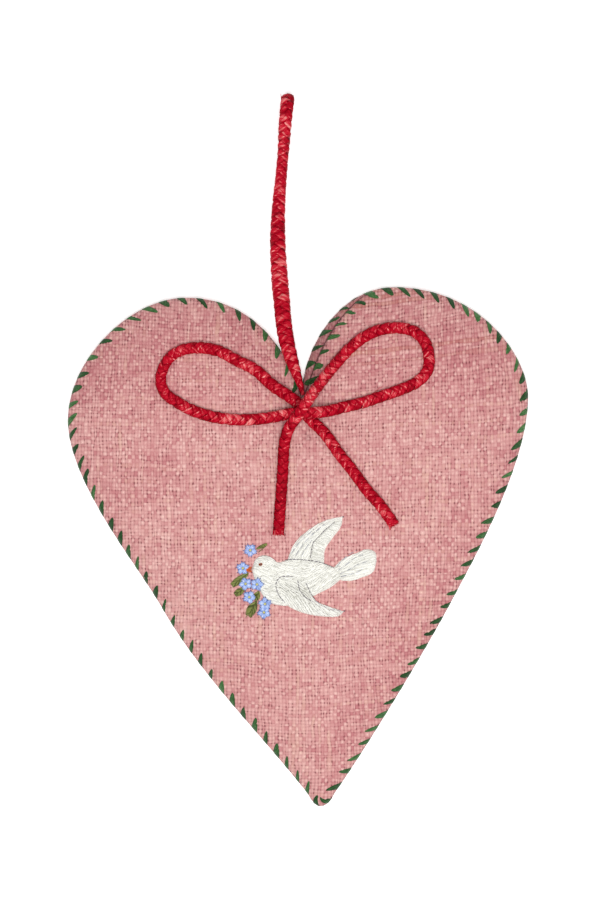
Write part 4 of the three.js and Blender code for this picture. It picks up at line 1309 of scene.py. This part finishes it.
stitches = Batch()
sewing = np.random.default_rng(17)
for centre in stitch_places(sewing):
    from_tip = abs(centre - TIP_PLACE)
    reach = min(STITCH_REACH * sewing.uniform(0.85, 1.2), 0.6 * from_tip + 1.6 * MM)
    slope, width = sewing.uniform(0.75, 1.25), STRIP_WIDTH * sewing.uniform(0.74, 1.2)
    tint = sewing.uniform(0.1, 0.9)
    base, top, inward = edge_at(centre)
    along = np.array([inward[1], -inward[0], 0.0])
    if np.linalg.norm(top[:2] - base[:2]) > ROLLED_BAND:
        outer = edge_line(centre, slope) + band_line(centre, slope)
        # Half the tint on the part over the rolled band: painted shade, as that side faces away from the
        # light
        sew_edge(stitches, outer, 4, width, (0.8, 0.3), along, tint * 0.5)
        sew_edge(stitches, front_line(centre, reach, slope), 1, width * 0.8, (0.7, 0.52), along, tint)
    else:
        bend = (*(top[:2] - (top[:2] - base[:2]) * 0.6), BEND_LEVEL)
        whole = edge_line(centre, slope) + [bend] + front_line(centre, reach, slope)
        sew_edge(stitches, whole, 4, width, (0.8, 0.52), along, tint)
stitches.piece("edge_stitches", GREEN_RAFFIA, ["edge_stitching"], "green_raffia")
print(STITCH_COUNT, "stitches")

# %% [markdown]
# ## Embroidery thread
#
# The dove is worked in satin stitch with a soft white thread that shines a little. Laid side by side
# the threads read as feathers, so they are modelled one by one. The finish is the same for every
# colour: fine streaks along the thread, and a tint for each stitch.

# %% Thread finishes


def thread_finish(name, dark, light, roughness=0.5, contrast=0.6):
    finish = Finish(name, roughness=roughness, specular=0.15)
    plus, minus, times = finish.plus, finish.minus, finish.times
    around, along, tint = finish.strand_map()
    grain = finish.vector(times(around, 8.0), times(along, 0.6), times(tint, 50.0))
    fibres = finish.noise(grain, 2.0, 2.0)
    shade = plus(times(fibres, contrast), times(tint, 1 - contrast))
    # Painted shade: each thread darkens down its sides, away from its top
    from_top = finish.math("ABSOLUTE", minus(around, 0.75))
    shade = minus(shade, times(from_top, 0.8))
    finish.colour(finish.ramp(shade, [(0.0, dark), (0.5, light)]))
    finish.bump(fibres, 0.08 * MM, 0.7)
    return finish.material


WHITE_THREAD = thread_finish("white_thread", srgb(196, 194, 180), srgb(250, 249, 242), 0.45, 0.4)
GREY_THREAD = thread_finish("grey_thread", srgb(66, 60, 66), srgb(132, 126, 134))
PALE_GREY_THREAD = thread_finish("pale_grey_thread", srgb(132, 132, 146), srgb(192, 194, 204))
BLUE_THREAD = thread_finish("blue_thread", srgb(62, 92, 176), srgb(178, 200, 248))
PALE_BLUE_THREAD = thread_finish("pale_blue_thread", srgb(184, 204, 246), srgb(236, 242, 255))
NAVY_THREAD = thread_finish("navy_thread", srgb(44, 52, 104), srgb(84, 98, 168))
YELLOW_THREAD = thread_finish("yellow_thread", srgb(206, 200, 96), srgb(244, 240, 176))
OLIVE_THREAD = thread_finish("olive_thread", srgb(34, 46, 12), srgb(136, 142, 78), 0.5, 0.35)
BROWN_THREAD = thread_finish("brown_thread", srgb(92, 30, 14), srgb(206, 98, 42))
print("thread finishes: 9")

# %% [markdown]
# ## Dove
#
# The dove is a traditional motif: a plump body that looks to the left, a fan of a tail, one wing
# raised behind it and one lowered in front. Each area lies between two edges that share their ends.
# It is filled with long and short stitches, whose direction turns as the feathers do: it is given at
# a few places, and blended between them. Under the threads lies a low pad of the same white.

# %% Places on the dove
DOVE_LENGTH = 40.3 * MM
DOVE_PLACE = np.array([0.7, -9.1]) * MM
THREAD_WIDTH = 0.36 * MM
THREAD_HEIGHT = 0.26 * MM
THREAD_STEP = 0.3 * MM


def on_dove(places):
    """Places given as hundredths of the dove's length."""
    return np.asarray(places, float) * DOVE_LENGTH / 100 + DOVE_PLACE


BODY_TOP = [
    (-38.7, 5.5), (-36, 13), (-29.8, 16.5), (-22.6, 14.5), (-18, 10.8), (-11.3, 12.5), (0, 13),
    (15.3, 10.9), (27, 6.8), (35, -0.8),
]
BODY_BASE = [
    (-38.7, 5.5), (-37.5, 0), (-33.5, -9.7), (-25.8, -20.6), (-13.7, -24), (0, -21), (13.4, -14.8),
    (25, -8.9), (35, -0.8),
]
TAIL_TOP = [(22, 1), (33.5, 13), (44.5, 18), (54.5, 21.4), (60.5, 18.5), (61.3, 11.5)]
TAIL_BASE = [(22, 1), (35, -4), (47.5, -2), (58.5, 3), (61.3, 11.5)]
NEAR_WING_BASE = [
    (-19, -6.5), (-17, -15), (-10.5, -23.5), (1.6, -29.5), (15.5, -32.3), (31, -32.3), (35, -28.6),
]
NEAR_WING_TOP = [(-19, -6.5), (-10.5, -3.5), (-1, -4), (6, -9), (12.5, -19.8), (23, -24.5), (35, -28.6)]
FAR_WING_FRONT = [(-11.5, 9), (-5, 25.3), (5.6, 36), (20, 44.4), (34, 47.7)]
FAR_WING_BACK = [(-11.5, 9), (4, 6.5), (18, 7.5), (20, 21), (26, 30.2), (33, 40), (34, 47.7)]

EDGE_SAMPLES = 120


def area_edge(points):
    """One edge of an area, with its points evenly spaced."""
    line = smooth_line(on_dove(points), 0.1 * MM)
    along = distances(line)
    return sampled(line, along, np.linspace(0, along[-1], EDGE_SAMPLES))


print("dove at", (DOVE_PLACE / MM).tolist(), "mm")

# %% Satin areas
FAR_WING_RIB = [(-11.5, 9), (-3, 8.5), (6.5, 12), (10.4, 26.3), (21.1, 37.9), (29, 44.6), (34, 47.7)]
PAD_DEPTH = 0.15 * MM
ROUNDING = 1.3 * MM  # distance from an area's edge to the full height of its padding

# Grey lines on the dove, as pixels of the photograph
GREY_LINES = {
    "back": [(285, 559.4), (292, 558.6), (299.7, 558.8), (319, 561.2), (333.6, 566.6)],
    "shoulder": [
        (293, 575.8), (286, 575.2), (280, 576.6), (276.3, 582), (277.6, 591), (281, 597), (285.5, 601.5),
    ],
    "wing": [(297.8, 579), (298.6, 585), (300.4, 590), (305.5, 596), (313, 600.8)],
    "wing_inner": [(306, 582), (308.6, 588), (312, 594.5), (315, 599)],
    "wing_back": [(315, 599.5), (319, 602.5), (325, 606), (334, 608.8), (341, 610)],
    "feather_mid": [(310.2, 557.5), (311.5, 550), (313, 542.4), (319.5, 535), (326.3, 528), (335, 521)],
    "feather_1": [(291, 553), (297, 544.5), (305, 536), (314, 528.5)],
    "feather_2": [(295.5, 555), (301, 547), (308, 538), (316, 530.5), (325, 523.5)],
    "feather_3": [(301, 556), (306, 547.5), (312, 539)],
    "tail_1": [(336.5, 566), (342, 559.5), (349, 553.5), (356, 550)],
    "tail_2": [(338, 569.5), (346, 563.5), (355, 557), (363, 553.5)],
    "tail_3": [(339, 573.5), (348, 569), (358, 563.5), (367, 560.5)],
    "tail_4": [(340, 576), (350, 573.5), (361, 569.5)],
}
WING_TIP_DOTS = ((342, 516.3), (343.2, 609.8))


class Area:
    """An embroidered area: its outline, and how far inside it a place lies."""

    def __init__(self, first, second):
        self.outline = np.vstack([area_edge(first), area_edge(second)[::-1]])
        self.tree = tree_of(self.outline)

    def holds(self, flat):
        """Which places lie inside, by counting the outline's crossings to one side."""
        x, y = np.asarray(flat)[:, 0, None], np.asarray(flat)[:, 1, None]
        ax, ay = self.outline[:, 0], self.outline[:, 1]
        bx, by = np.roll(ax, -1), np.roll(ay, -1)
        crosses = (ay > y) != (by > y)
        with np.errstate(divide="ignore", invalid="ignore"):
            at = ax + (y - ay) * (bx - ax) / (by - ay)
        return (crosses & (x < at)).sum(axis=1) % 2 == 1

    def rounding(self, flat):
        """Height of the padding, from 0 at the outline to 1 inside."""
        depth = np.array([self.tree.find((x, y, 0))[2] for x, y in flat])
        return 1 - np.exp(-2.2 * depth / ROUNDING)


def pad(batch, area, lift, rise):
    """Low closed pad under an area's threads."""
    low, high = area.outline.min(axis=0), area.outline.max(axis=0)
    x, y = np.meshgrid(np.arange(low[0], high[0], 0.6 * MM), np.arange(low[1], high[1], 0.6 * MM))
    flat = np.column_stack([x.ravel(), y.ravel()])
    flat = flat[area.holds(flat)]
    flat = flat[area.rounding(flat) > 0.35]
    ring = area.outline[::3]
    result = geometry.delaunay_2d_cdt(
        [Vector(p) for p in np.vstack([ring, flat]) * 1000], [], [list(range(len(ring)))], 1, 1e-4,
    )
    flat = np.array([v[:] for v in result[0]]) / 1000
    ground = on_cloth(flat, 0.0)
    top, base = ground.copy(), ground.copy()
    top[:, 2] += lift + rise * area.rounding(flat)
    base[:, 2] -= PAD_DEPTH
    number = len(flat)
    faces = [tuple(face) for face in result[2]]
    sides = dict.fromkeys((i, j) for face in faces for i, j in zip(face, face[1:] + face[:1]))
    walls = [(j, i, number + i, number + j) for i, j in sides if (j, i) not in sides]
    faces = faces + [tuple(number + i for i in reversed(face)) for face in result[2]] + walls
    uvs = [(0.75, 0.5)] * sum(len(face) for face in faces)
    batch.shape(np.vstack([top, base]), faces, uvs, 0.35)


def sew(batch, flat, lift, rises, tint):
    """One thread along a flat line; its ends dip into the cloth."""
    line = on_cloth(flat, 0.0)
    along = distances(line)
    ends = np.minimum(along, along[-1] - along)
    dip = np.clip(1 - ends / (0.45 * MM), 0, 1) ** 2 * 0.22 * MM
    line[:, 2] += lift + rises - dip
    lay(batch, THREAD, line, [THREAD_WIDTH, THREAD_WIDTH], THREAD_HEIGHT, tint, tint * 300)


def satin(batch, area, lift, rise, main, field, pitch, length, seed, shade):
    """Long and short threads over an area; the field gives their direction at each place, in degrees."""
    random = np.random.default_rng(seed)
    turn = math.radians(main)
    forward = np.array([math.cos(turn), math.sin(turn)])
    across = np.array([-math.sin(turn), math.cos(turn)])
    p, q = area.outline @ forward, area.outline @ across
    for row in np.arange(q.min(), q.max(), pitch):
        start = p.min() - random.uniform(0, 1) * length
        while start < p.max():
            reach = length * random.uniform(0.75, 1.25)
            seed_place = forward * (start + reach / 2) + across * (row + random.uniform(-0.15, 0.15) * pitch)
            start += reach * 0.9
            halves = []
            for sign in (1, -1):
                place, half = seed_place.copy(), []
                for _ in range(max(2, int(reach / 2 / THREAD_STEP))):
                    angle = math.radians(field(*((place - DOVE_PLACE) / DOVE_LENGTH * 100)))
                    place = place + sign * THREAD_STEP * np.array([math.cos(angle), math.sin(angle)])
                    half.append(place)
                halves.append(np.array(half))
            flat = np.vstack([halves[1][::-1], [seed_place], halves[0]])
            kept = area.holds(flat)
            if kept.sum() < 4:
                continue
            run = np.flatnonzero(kept)
            middle = len(halves[1]) if kept[len(halves[1])] else run[len(run) // 2]
            first = last = middle
            while first > 0 and kept[first - 1]:
                first -= 1
            while last < len(flat) - 1 and kept[last + 1]:
                last += 1
            if last - first < 3:
                continue
            flat = flat[first:last + 1]
            tint = random.uniform(0.25, 1)
            tint *= 1 - shade(*((flat.mean(axis=0) - DOVE_PLACE) / DOVE_LENGTH * 100))
            sew(batch, flat, lift, rise * area.rounding(flat), tint)


def field_of(*knots):
    """A direction field that blends the angles given at a few places."""
    places = np.array([(x, y) for x, y, _ in knots], float)
    angles = np.radians([angle for _, _, angle in knots])

    def field(x, y):
        weights = 1 / ((places[:, 0] - x) ** 2 + (places[:, 1] - y) ** 2 + 4) ** 1.5
        return math.degrees(math.atan2(weights @ np.sin(angles), weights @ np.cos(angles)))

    return field


def soft_spot(*spots):
    """Shade that is strongest at given places: x, y, reach and strength."""
    def shade(x, y):
        return min(0.95, sum(s * math.exp(-((x - a) ** 2 + (y - b) ** 2) / r**2) for a, b, r, s in spots))

    return shade


print("areas and fields ready")

# %% Dove in satin stitch
BODY, TAIL = Area(BODY_TOP, BODY_BASE), Area(TAIL_TOP, TAIL_BASE)
NEAR_WING = Area(NEAR_WING_TOP, NEAR_WING_BASE)
FAR_FRONT, FAR_BACK = Area(FAR_WING_FRONT, FAR_WING_RIB), Area(FAR_WING_RIB, FAR_WING_BACK)

BODY_FIELD = field_of(
    (-34, 10, 20), (-35, 3, -30), (-26, 12, -38), (-22, 3, -22), (-28, -8, -22), (-20, -16, -16),
    (-10, 8, -18), (-10, -8, -14), (-6, -19, -4), (2, 8, -4), (6, -8, 28), (12, 4, 30), (16, -8, 50),
    (24, 0, 42), (31, 0, 26),
)
NEAR_FIELD = field_of(
    (-15, -10, -38), (-8, -20, -52), (-4, -8, -36), (4, -24, -50), (14, -28, -44), (28, -30, -28),
)
FAR_FIELD = field_of((-9, 10, 62), (0, 16, 56), (5, 30, 48), (18, 40, 38), (32, 47, 24), (8, 20, 58))
BACK_FIELD = field_of((8, 11, -22), (16, 14, -16), (14, 26, -24), (22, 34, -20), (30, 43, -14))
TAIL_FIELD = field_of((22, 2, 20), (36, 10, 40), (50, 19, 24), (40, 2, 8), (56, 6, 14), (58, 14, 20))

# Area, heights of its pad and its threads, rise, main direction, field, pitch, length, seed, shade
SATIN = [
    (FAR_BACK, 0.16, 0.2, 0.4, -20, BACK_FIELD, 0.34, 4.2, 40, [(11, 14, 6, 0.5)]),
    (FAR_FRONT, 0.2, 0.28, 0.55, 50, FAR_FIELD, 0.34, 5.5, 41, [(-4, 13, 7, 0.4)]),
    (TAIL, 0.2, 0.24, 0.5, 22, TAIL_FIELD, 0.34, 6, 42, [(27, 2, 6, 0.5)]),
    (BODY, 0.3, 0.34, 0.85, 0, BODY_FIELD, 0.30, 3.6, 43, [(26, -2, 10, 0.4), (-6, -6, 8, 0.4)]),
    (NEAR_WING, 0.75, 0.78, 0.75, -45, NEAR_FIELD, 0.34, 4, 44, [(4, -11, 7, 0.7)]),
]

dove_batch = Batch()
for area, pad_lift, _, rise, *_ in SATIN:
    pad(dove_batch, area, pad_lift * 0.5 * MM, rise * MM)
for area, _, lift, rise, main, field, pitch, length, seed, spots in SATIN:
    shade = soft_spot(*spots)
    satin(dove_batch, area, lift * MM, rise * MM, main, field, pitch * MM, length * MM, seed, shade)
dove = dove_batch.piece("dove_satin", WHITE_THREAD, ["dove"], "white_thread")
satin_tree = tree_over(dove)


def on_satin(flat, lift):
    """Heights of a line that lies on the white stitches, or on the cloth beside them."""
    line = on_cloth(flat, lift)
    line[:, 2] = np.maximum(line[:, 2], height_over(satin_tree, flat, 0.0) + lift)
    return line


# %% Grey lines


def line_stitches(batch, flat, length, width, gap, seed):
    """Small stitches end to end along a line."""
    random = np.random.default_rng(seed)
    line = smooth_line(np.column_stack([flat, np.zeros(len(flat))]), 0.1 * MM)[:, :2]
    step = max(3, round(length / (0.1 * MM)))
    for first in range(0, len(line) - 3, step):
        piece = line[first:first + step + 2 - round(gap / (0.1 * MM))]
        if len(piece) < 4:
            continue
        piece = spaced(piece, 0.25 * MM)
        placed = on_satin(piece, 0.0)
        evened = np.convolve(np.pad(placed[:, 2], 1, "edge"), [1 / 3] * 3, "valid")
        placed[:, 2] = np.maximum(placed[:, 2], evened)
        placed[:, 2] += 0.05 * MM
        placed[[0, -1], 2] -= 0.10 * MM
        wide = width * random.uniform(0.75, 1.2)
        lay(batch, THREAD, placed, [wide, wide], 0.18 * MM, random.uniform(0, 1), random.uniform(0, 99))


greys, pale_greys = Batch(), Batch()
for number, (name, pixels) in enumerate(GREY_LINES.items()):
    faint = name.startswith(("feather_1", "feather_2", "feather_3", "tail", "wing_back"))
    line_stitches(
        pale_greys if faint else greys, photo_place(pixels), (2.6 if faint else 1.2) * MM,
        (0.2 if faint else 0.26) * MM, (0.5 if faint else 0.15) * MM, 60 + number,
    )
for pixel in WING_TIP_DOTS:
    dot = photo_place([pixel, (pixel[0] + 1.6, pixel[1] + 0.4)])
    line_stitches(greys, dot, 0.5 * MM, 0.4 * MM, 0, 80)
greys.piece("dove_outline_stitches", GREY_THREAD, ["dove"], "white_thread")
pale_greys.piece("dove_feather_stitches", PALE_GREY_THREAD, ["dove"], "white_thread")

# %% [markdown]
# ## Eye and beak
#
# The eye is a knot: the thread is wound round the needle, which leaves a tiny coil. The beak is three
# straight stitches that meet at its tip.

# %% Eye and beak
EYE_PIXEL = (260.8, 563.7)
BEAK_PIXELS = ((251.2, 568.6), (244.6, 569.2))


def knot(batch, centre, radius, height, turns, tints, stretch=1.0):
    """A small coil of thread, wound from the outside up to its middle."""
    t = np.linspace(0, 1, 14 * turns)
    angle = 2 * math.pi * turns * t
    reach = radius * (1 - 0.75 * t)
    flat = np.column_stack([stretch * reach * np.cos(angle), reach * np.sin(angle)]) + centre
    line = on_satin(flat, 0.0)
    line[:, 2] = line[:, 2].max() + height * (0.1 + 0.9 * t)
    _, side, up = line_axes(line, np.tile([0.0, 0.0, 1.0], (len(line), 1)))
    widths = np.full(len(line), radius * 0.62)
    batch.tube(ring_strand(line, side, up, widths, widths, 6), t * 5, tints)


eye_batch = Batch()
knot(eye_batch, photo_place([EYE_PIXEL])[0], 0.42 * MM, 0.16 * MM, 2, 0.25, 1.5)
eye_batch.piece("dove_eye_knot", BROWN_THREAD, ["dove_eye"], "brown_thread")

beak_batch = Batch()
root, point = photo_place(BEAK_PIXELS)
for number, spread in enumerate((-0.55, 0.0, 0.55)):
    begin = root + np.array([0.25 * abs(spread) * 2, spread * 1.25]) * MM
    flat = np.linspace(begin, point + np.array([0, spread * 0.15]) * MM, 8)
    line = on_cloth(flat, 0.0)
    line[:, 2] += (0.28 + 0.22 * np.sin(math.pi * np.linspace(0, 1, 8))) * MM
    lay(beak_batch, THREAD, line, [0.62 * MM, 0.4 * MM], 0.4 * MM, (0.75, 0.5, 0.9)[number], 9.0 * number)
beak_batch.piece("dove_beak_stitches", BROWN_THREAD, ["dove_beak"], "brown_thread")

# %% [markdown]
# ## Forget-me-nots and leaves
#
# Each petal is a fan of short straight stitches that starts at the flower's middle, with a pale
# streak on it, two darker stitches at its tip and another between it and the next, and a pale yellow
# knot sits in the middle. The leaves are worked in slanting stitches from both sides of a rib. All
# are small, so a few threads of the true width are enough.

# %% Flowers
FLOWERS = [
    ((-40, 20.5), 0.3), ((-46, 6), 0.9), ((-43.8, -6.5), 0.1), ((-34.6, -6.9), 0.7), ((-40.8, -17.2), 0.5),
    ((-28.2, -22.6), 1.0), ((-29.1, -29.4), 0.2),
]
PETAL_LENGTH = 2.15 * MM
PETAL_FAN = 0.43  # half width of a petal, in radians


def ray(centre, turn, start, end, count):
    """Places on a straight line out of a flower's middle."""
    return centre + np.outer(np.linspace(start, end, count), (math.cos(turn), math.sin(turn)))


def petal(batch, tips, pale, centre, angle, seed):
    random = np.random.default_rng(seed)
    for spread in (-1, -0.5, 0, 0.5, 1):
        reach = PETAL_LENGTH * (1 - 0.17 * abs(spread) ** 2) * random.uniform(0.94, 1.04)
        line = on_satin(ray(centre, angle + spread * PETAL_FAN, 0.42 * MM, reach, 7), 0.0)
        line[:, 2] = np.linspace(line[0, 2], line[-1, 2], 7)
        line[:, 2] += (0.30 + 0.30 * np.sin(math.pi * np.linspace(0.1, 1, 7)) - 0.05 * abs(spread)) * MM
        tint = random.uniform(0.0, 1)
        lay(batch, THREAD, line, [0.26 * MM, 0.46 * MM, 0.5 * MM], 0.32 * MM, tint, seed * 3.0)
    flat = ray(centre, angle + math.pi / 5, PETAL_LENGTH * 0.3, PETAL_LENGTH * 0.8, 5)
    line = on_satin(flat, 0.26 * MM)
    lay(tips, THREAD, line, [0.24 * MM, 0.32 * MM], 0.24 * MM, random.uniform(0, 1), 2.0)
    turn = angle + random.uniform(-0.5, 0.5) * PETAL_FAN
    line = on_satin(ray(centre, turn, PETAL_LENGTH * 0.3, PETAL_LENGTH * 0.78, 5), 0.0)
    line[:, 2] = line[0, 2] + (0.44 + 0.3 * np.sin(math.pi * np.linspace(0.1, 1, 5))) * MM
    lay(pale, THREAD, line, [0.2 * MM, 0.26 * MM], 0.2 * MM, random.uniform(0.3, 1), 3.0)
    for spread in (-0.45, 0.4):
        turn = angle + spread * PETAL_FAN + random.uniform(-0.1, 0.1)
        line = on_satin(ray(centre, turn, PETAL_LENGTH * 0.93, PETAL_LENGTH * 1.13, 4), 0.14 * MM)
        lay(tips, THREAD, line, [0.26 * MM, 0.2 * MM], 0.2 * MM, random.uniform(0, 1), 1.0)


tip_batch, pale_batch = Batch(), Batch()
for number, (place, turn) in enumerate(FLOWERS, start=1):
    centre = on_dove([place])[0]
    blue, yellow = Batch(), Batch()
    for k in range(5):
        petal(blue, tip_batch, pale_batch, centre, turn + (k + 0.5) * 2 * math.pi / 5, number * 10 + k)
    node = f"forget_me_not_{number}"
    blue.piece(f"forget_me_not_petals_{number}", BLUE_THREAD, [node], "blue_thread")
    knot(yellow, centre, 0.36 * MM, 0.5 * MM, 2, 0.6)
    yellow.piece(f"flower_knot_{number}", YELLOW_THREAD, [f"flower_centre_{number}"], "yellow_thread")
tip_batch.piece("forget_me_not_tips", NAVY_THREAD, ["forget_me_not_1"], "blue_thread")
pale_batch.piece("forget_me_not_lights", PALE_BLUE_THREAD, ["forget_me_not_2"], "blue_thread")

# %% Leaves
LEAVES = [
    ((-35, 21.5), (-26.5, 25.5), 2.6), ((-41.5, 2), (-55, -8), 6), ((-44.5, -10), (-52.5, -15.5), 6),
    ((-33, -12.5), (-36.5, -20), 6), ((-35, -20.5), (-42, -32.5), 8),
]
# Stems of single leaves, as pixels of the photograph, and where each thread's streaks start
STEMS = {
    1: [([(258, 552), (262, 549), (267.5, 544)], 3)],
    5: [([(250, 608), (248.6, 612), (246, 617)], 4), ([(252, 609), (251.5, 613), (252.2, 617)], 5)],
}


def leaf(batch, start, end, width, seed):
    """Slanting stitches from both edges to the rib, and the rib itself."""
    random = np.random.default_rng(seed)
    start, end = on_dove([start, end])
    half = width * DOVE_LENGTH / 200
    along = unit(end - start)
    across = np.array([-along[1], along[0]])
    length = np.linalg.norm(end - start)
    number = max(4, round(length / (0.42 * MM)))
    for side in (-1, 1):
        for k in range(number):
            share = (k + 0.5) / number
            bulge = math.sin(math.pi * min(1.0, share * 0.9 + 0.08)) ** 0.7
            edge = start + along * length * min(1.0, share + 0.16) + across * side * half * bulge
            rib = start + along * length * max(0.0, share - 0.14)
            flat = np.linspace(rib, edge, 6)
            line = on_cloth(flat, 0.0)
            line[:, 2] += (0.12 + 0.22 * np.sin(math.pi * np.linspace(0.15, 1, 6))) * MM
            lay(batch, THREAD, line, [0.36 * MM, 0.36 * MM], 0.24 * MM, random.uniform(0, 0.75), seed + k)
    line = on_cloth(np.linspace(start, end, 9), 0.34 * MM)
    lay(batch, THREAD, line, [0.22 * MM, 0.22 * MM], 0.18 * MM, 0.1, seed)


def stem(batch, pixels, v_start):
    line = smooth_line(on_cloth(photo_place(pixels), 0.12 * MM), 0.3 * MM)
    lay(batch, THREAD, line, [0.26 * MM, 0.22 * MM], 0.2 * MM, 0.2, v_start)


for number, (start, end, width) in enumerate(LEAVES, start=1):
    green = Batch()
    leaf(green, start, end, width, number * 7)
    for pixels, v_start in STEMS.get(number, []):
        stem(green, pixels, v_start)
    green.piece(f"leaf_stitches_{number}", OLIVE_THREAD, [f"leaf_{number}"], "olive_thread")

# %% [markdown]
# ## Floor and light
#
# The ornament lies on a plain pale surface, as in a product picture. A broad light from above and a
# little to the left gives soft shadows, and a weak one from the other side keeps them open.

# %% Floor


def make_floor():
    bpy.ops.mesh.primitive_plane_add(size=6, location=(0, 0.03, -0.05 * MM))
    floor = bpy.context.object
    floor.name = "floor"
    finish = Finish("pale_floor", roughness=0.9, specular=0.1)
    finish.colour((0.94, 0.94, 0.94, 1))
    finish.shader.inputs["Emission Color"].default_value = (1, 1, 1, 1)
    finish.shader.inputs["Emission Strength"].default_value = 0.42
    floor.data.materials.append(finish.material)


make_floor()

# %% Lights


def area_light(name, place, size, energy):
    data = bpy.data.lights.new(name, "AREA")
    data.shape = "DISK"
    data.size = size
    data.energy = energy
    light = bpy.data.objects.new(name, data)
    light.location = place
    light.rotation_euler = (Vector((0, 0.02, 0)) - Vector(place)).to_track_quat("-Z", "Y").to_euler()
    bpy.context.scene.collection.objects.link(light)


area_light("key_light", (-0.02, -0.18, 1.12), 0.5, 9.8)
area_light("fill_light", (0.5, 0.3, 1.0), 0.8, 1.8)
world = bpy.data.worlds.new("studio")
world.use_nodes = True
world.node_tree.nodes["Background"].inputs[0].default_value = (1, 1, 1, 1)
world.node_tree.nodes["Background"].inputs[1].default_value = 0.28
bpy.context.scene.world = world
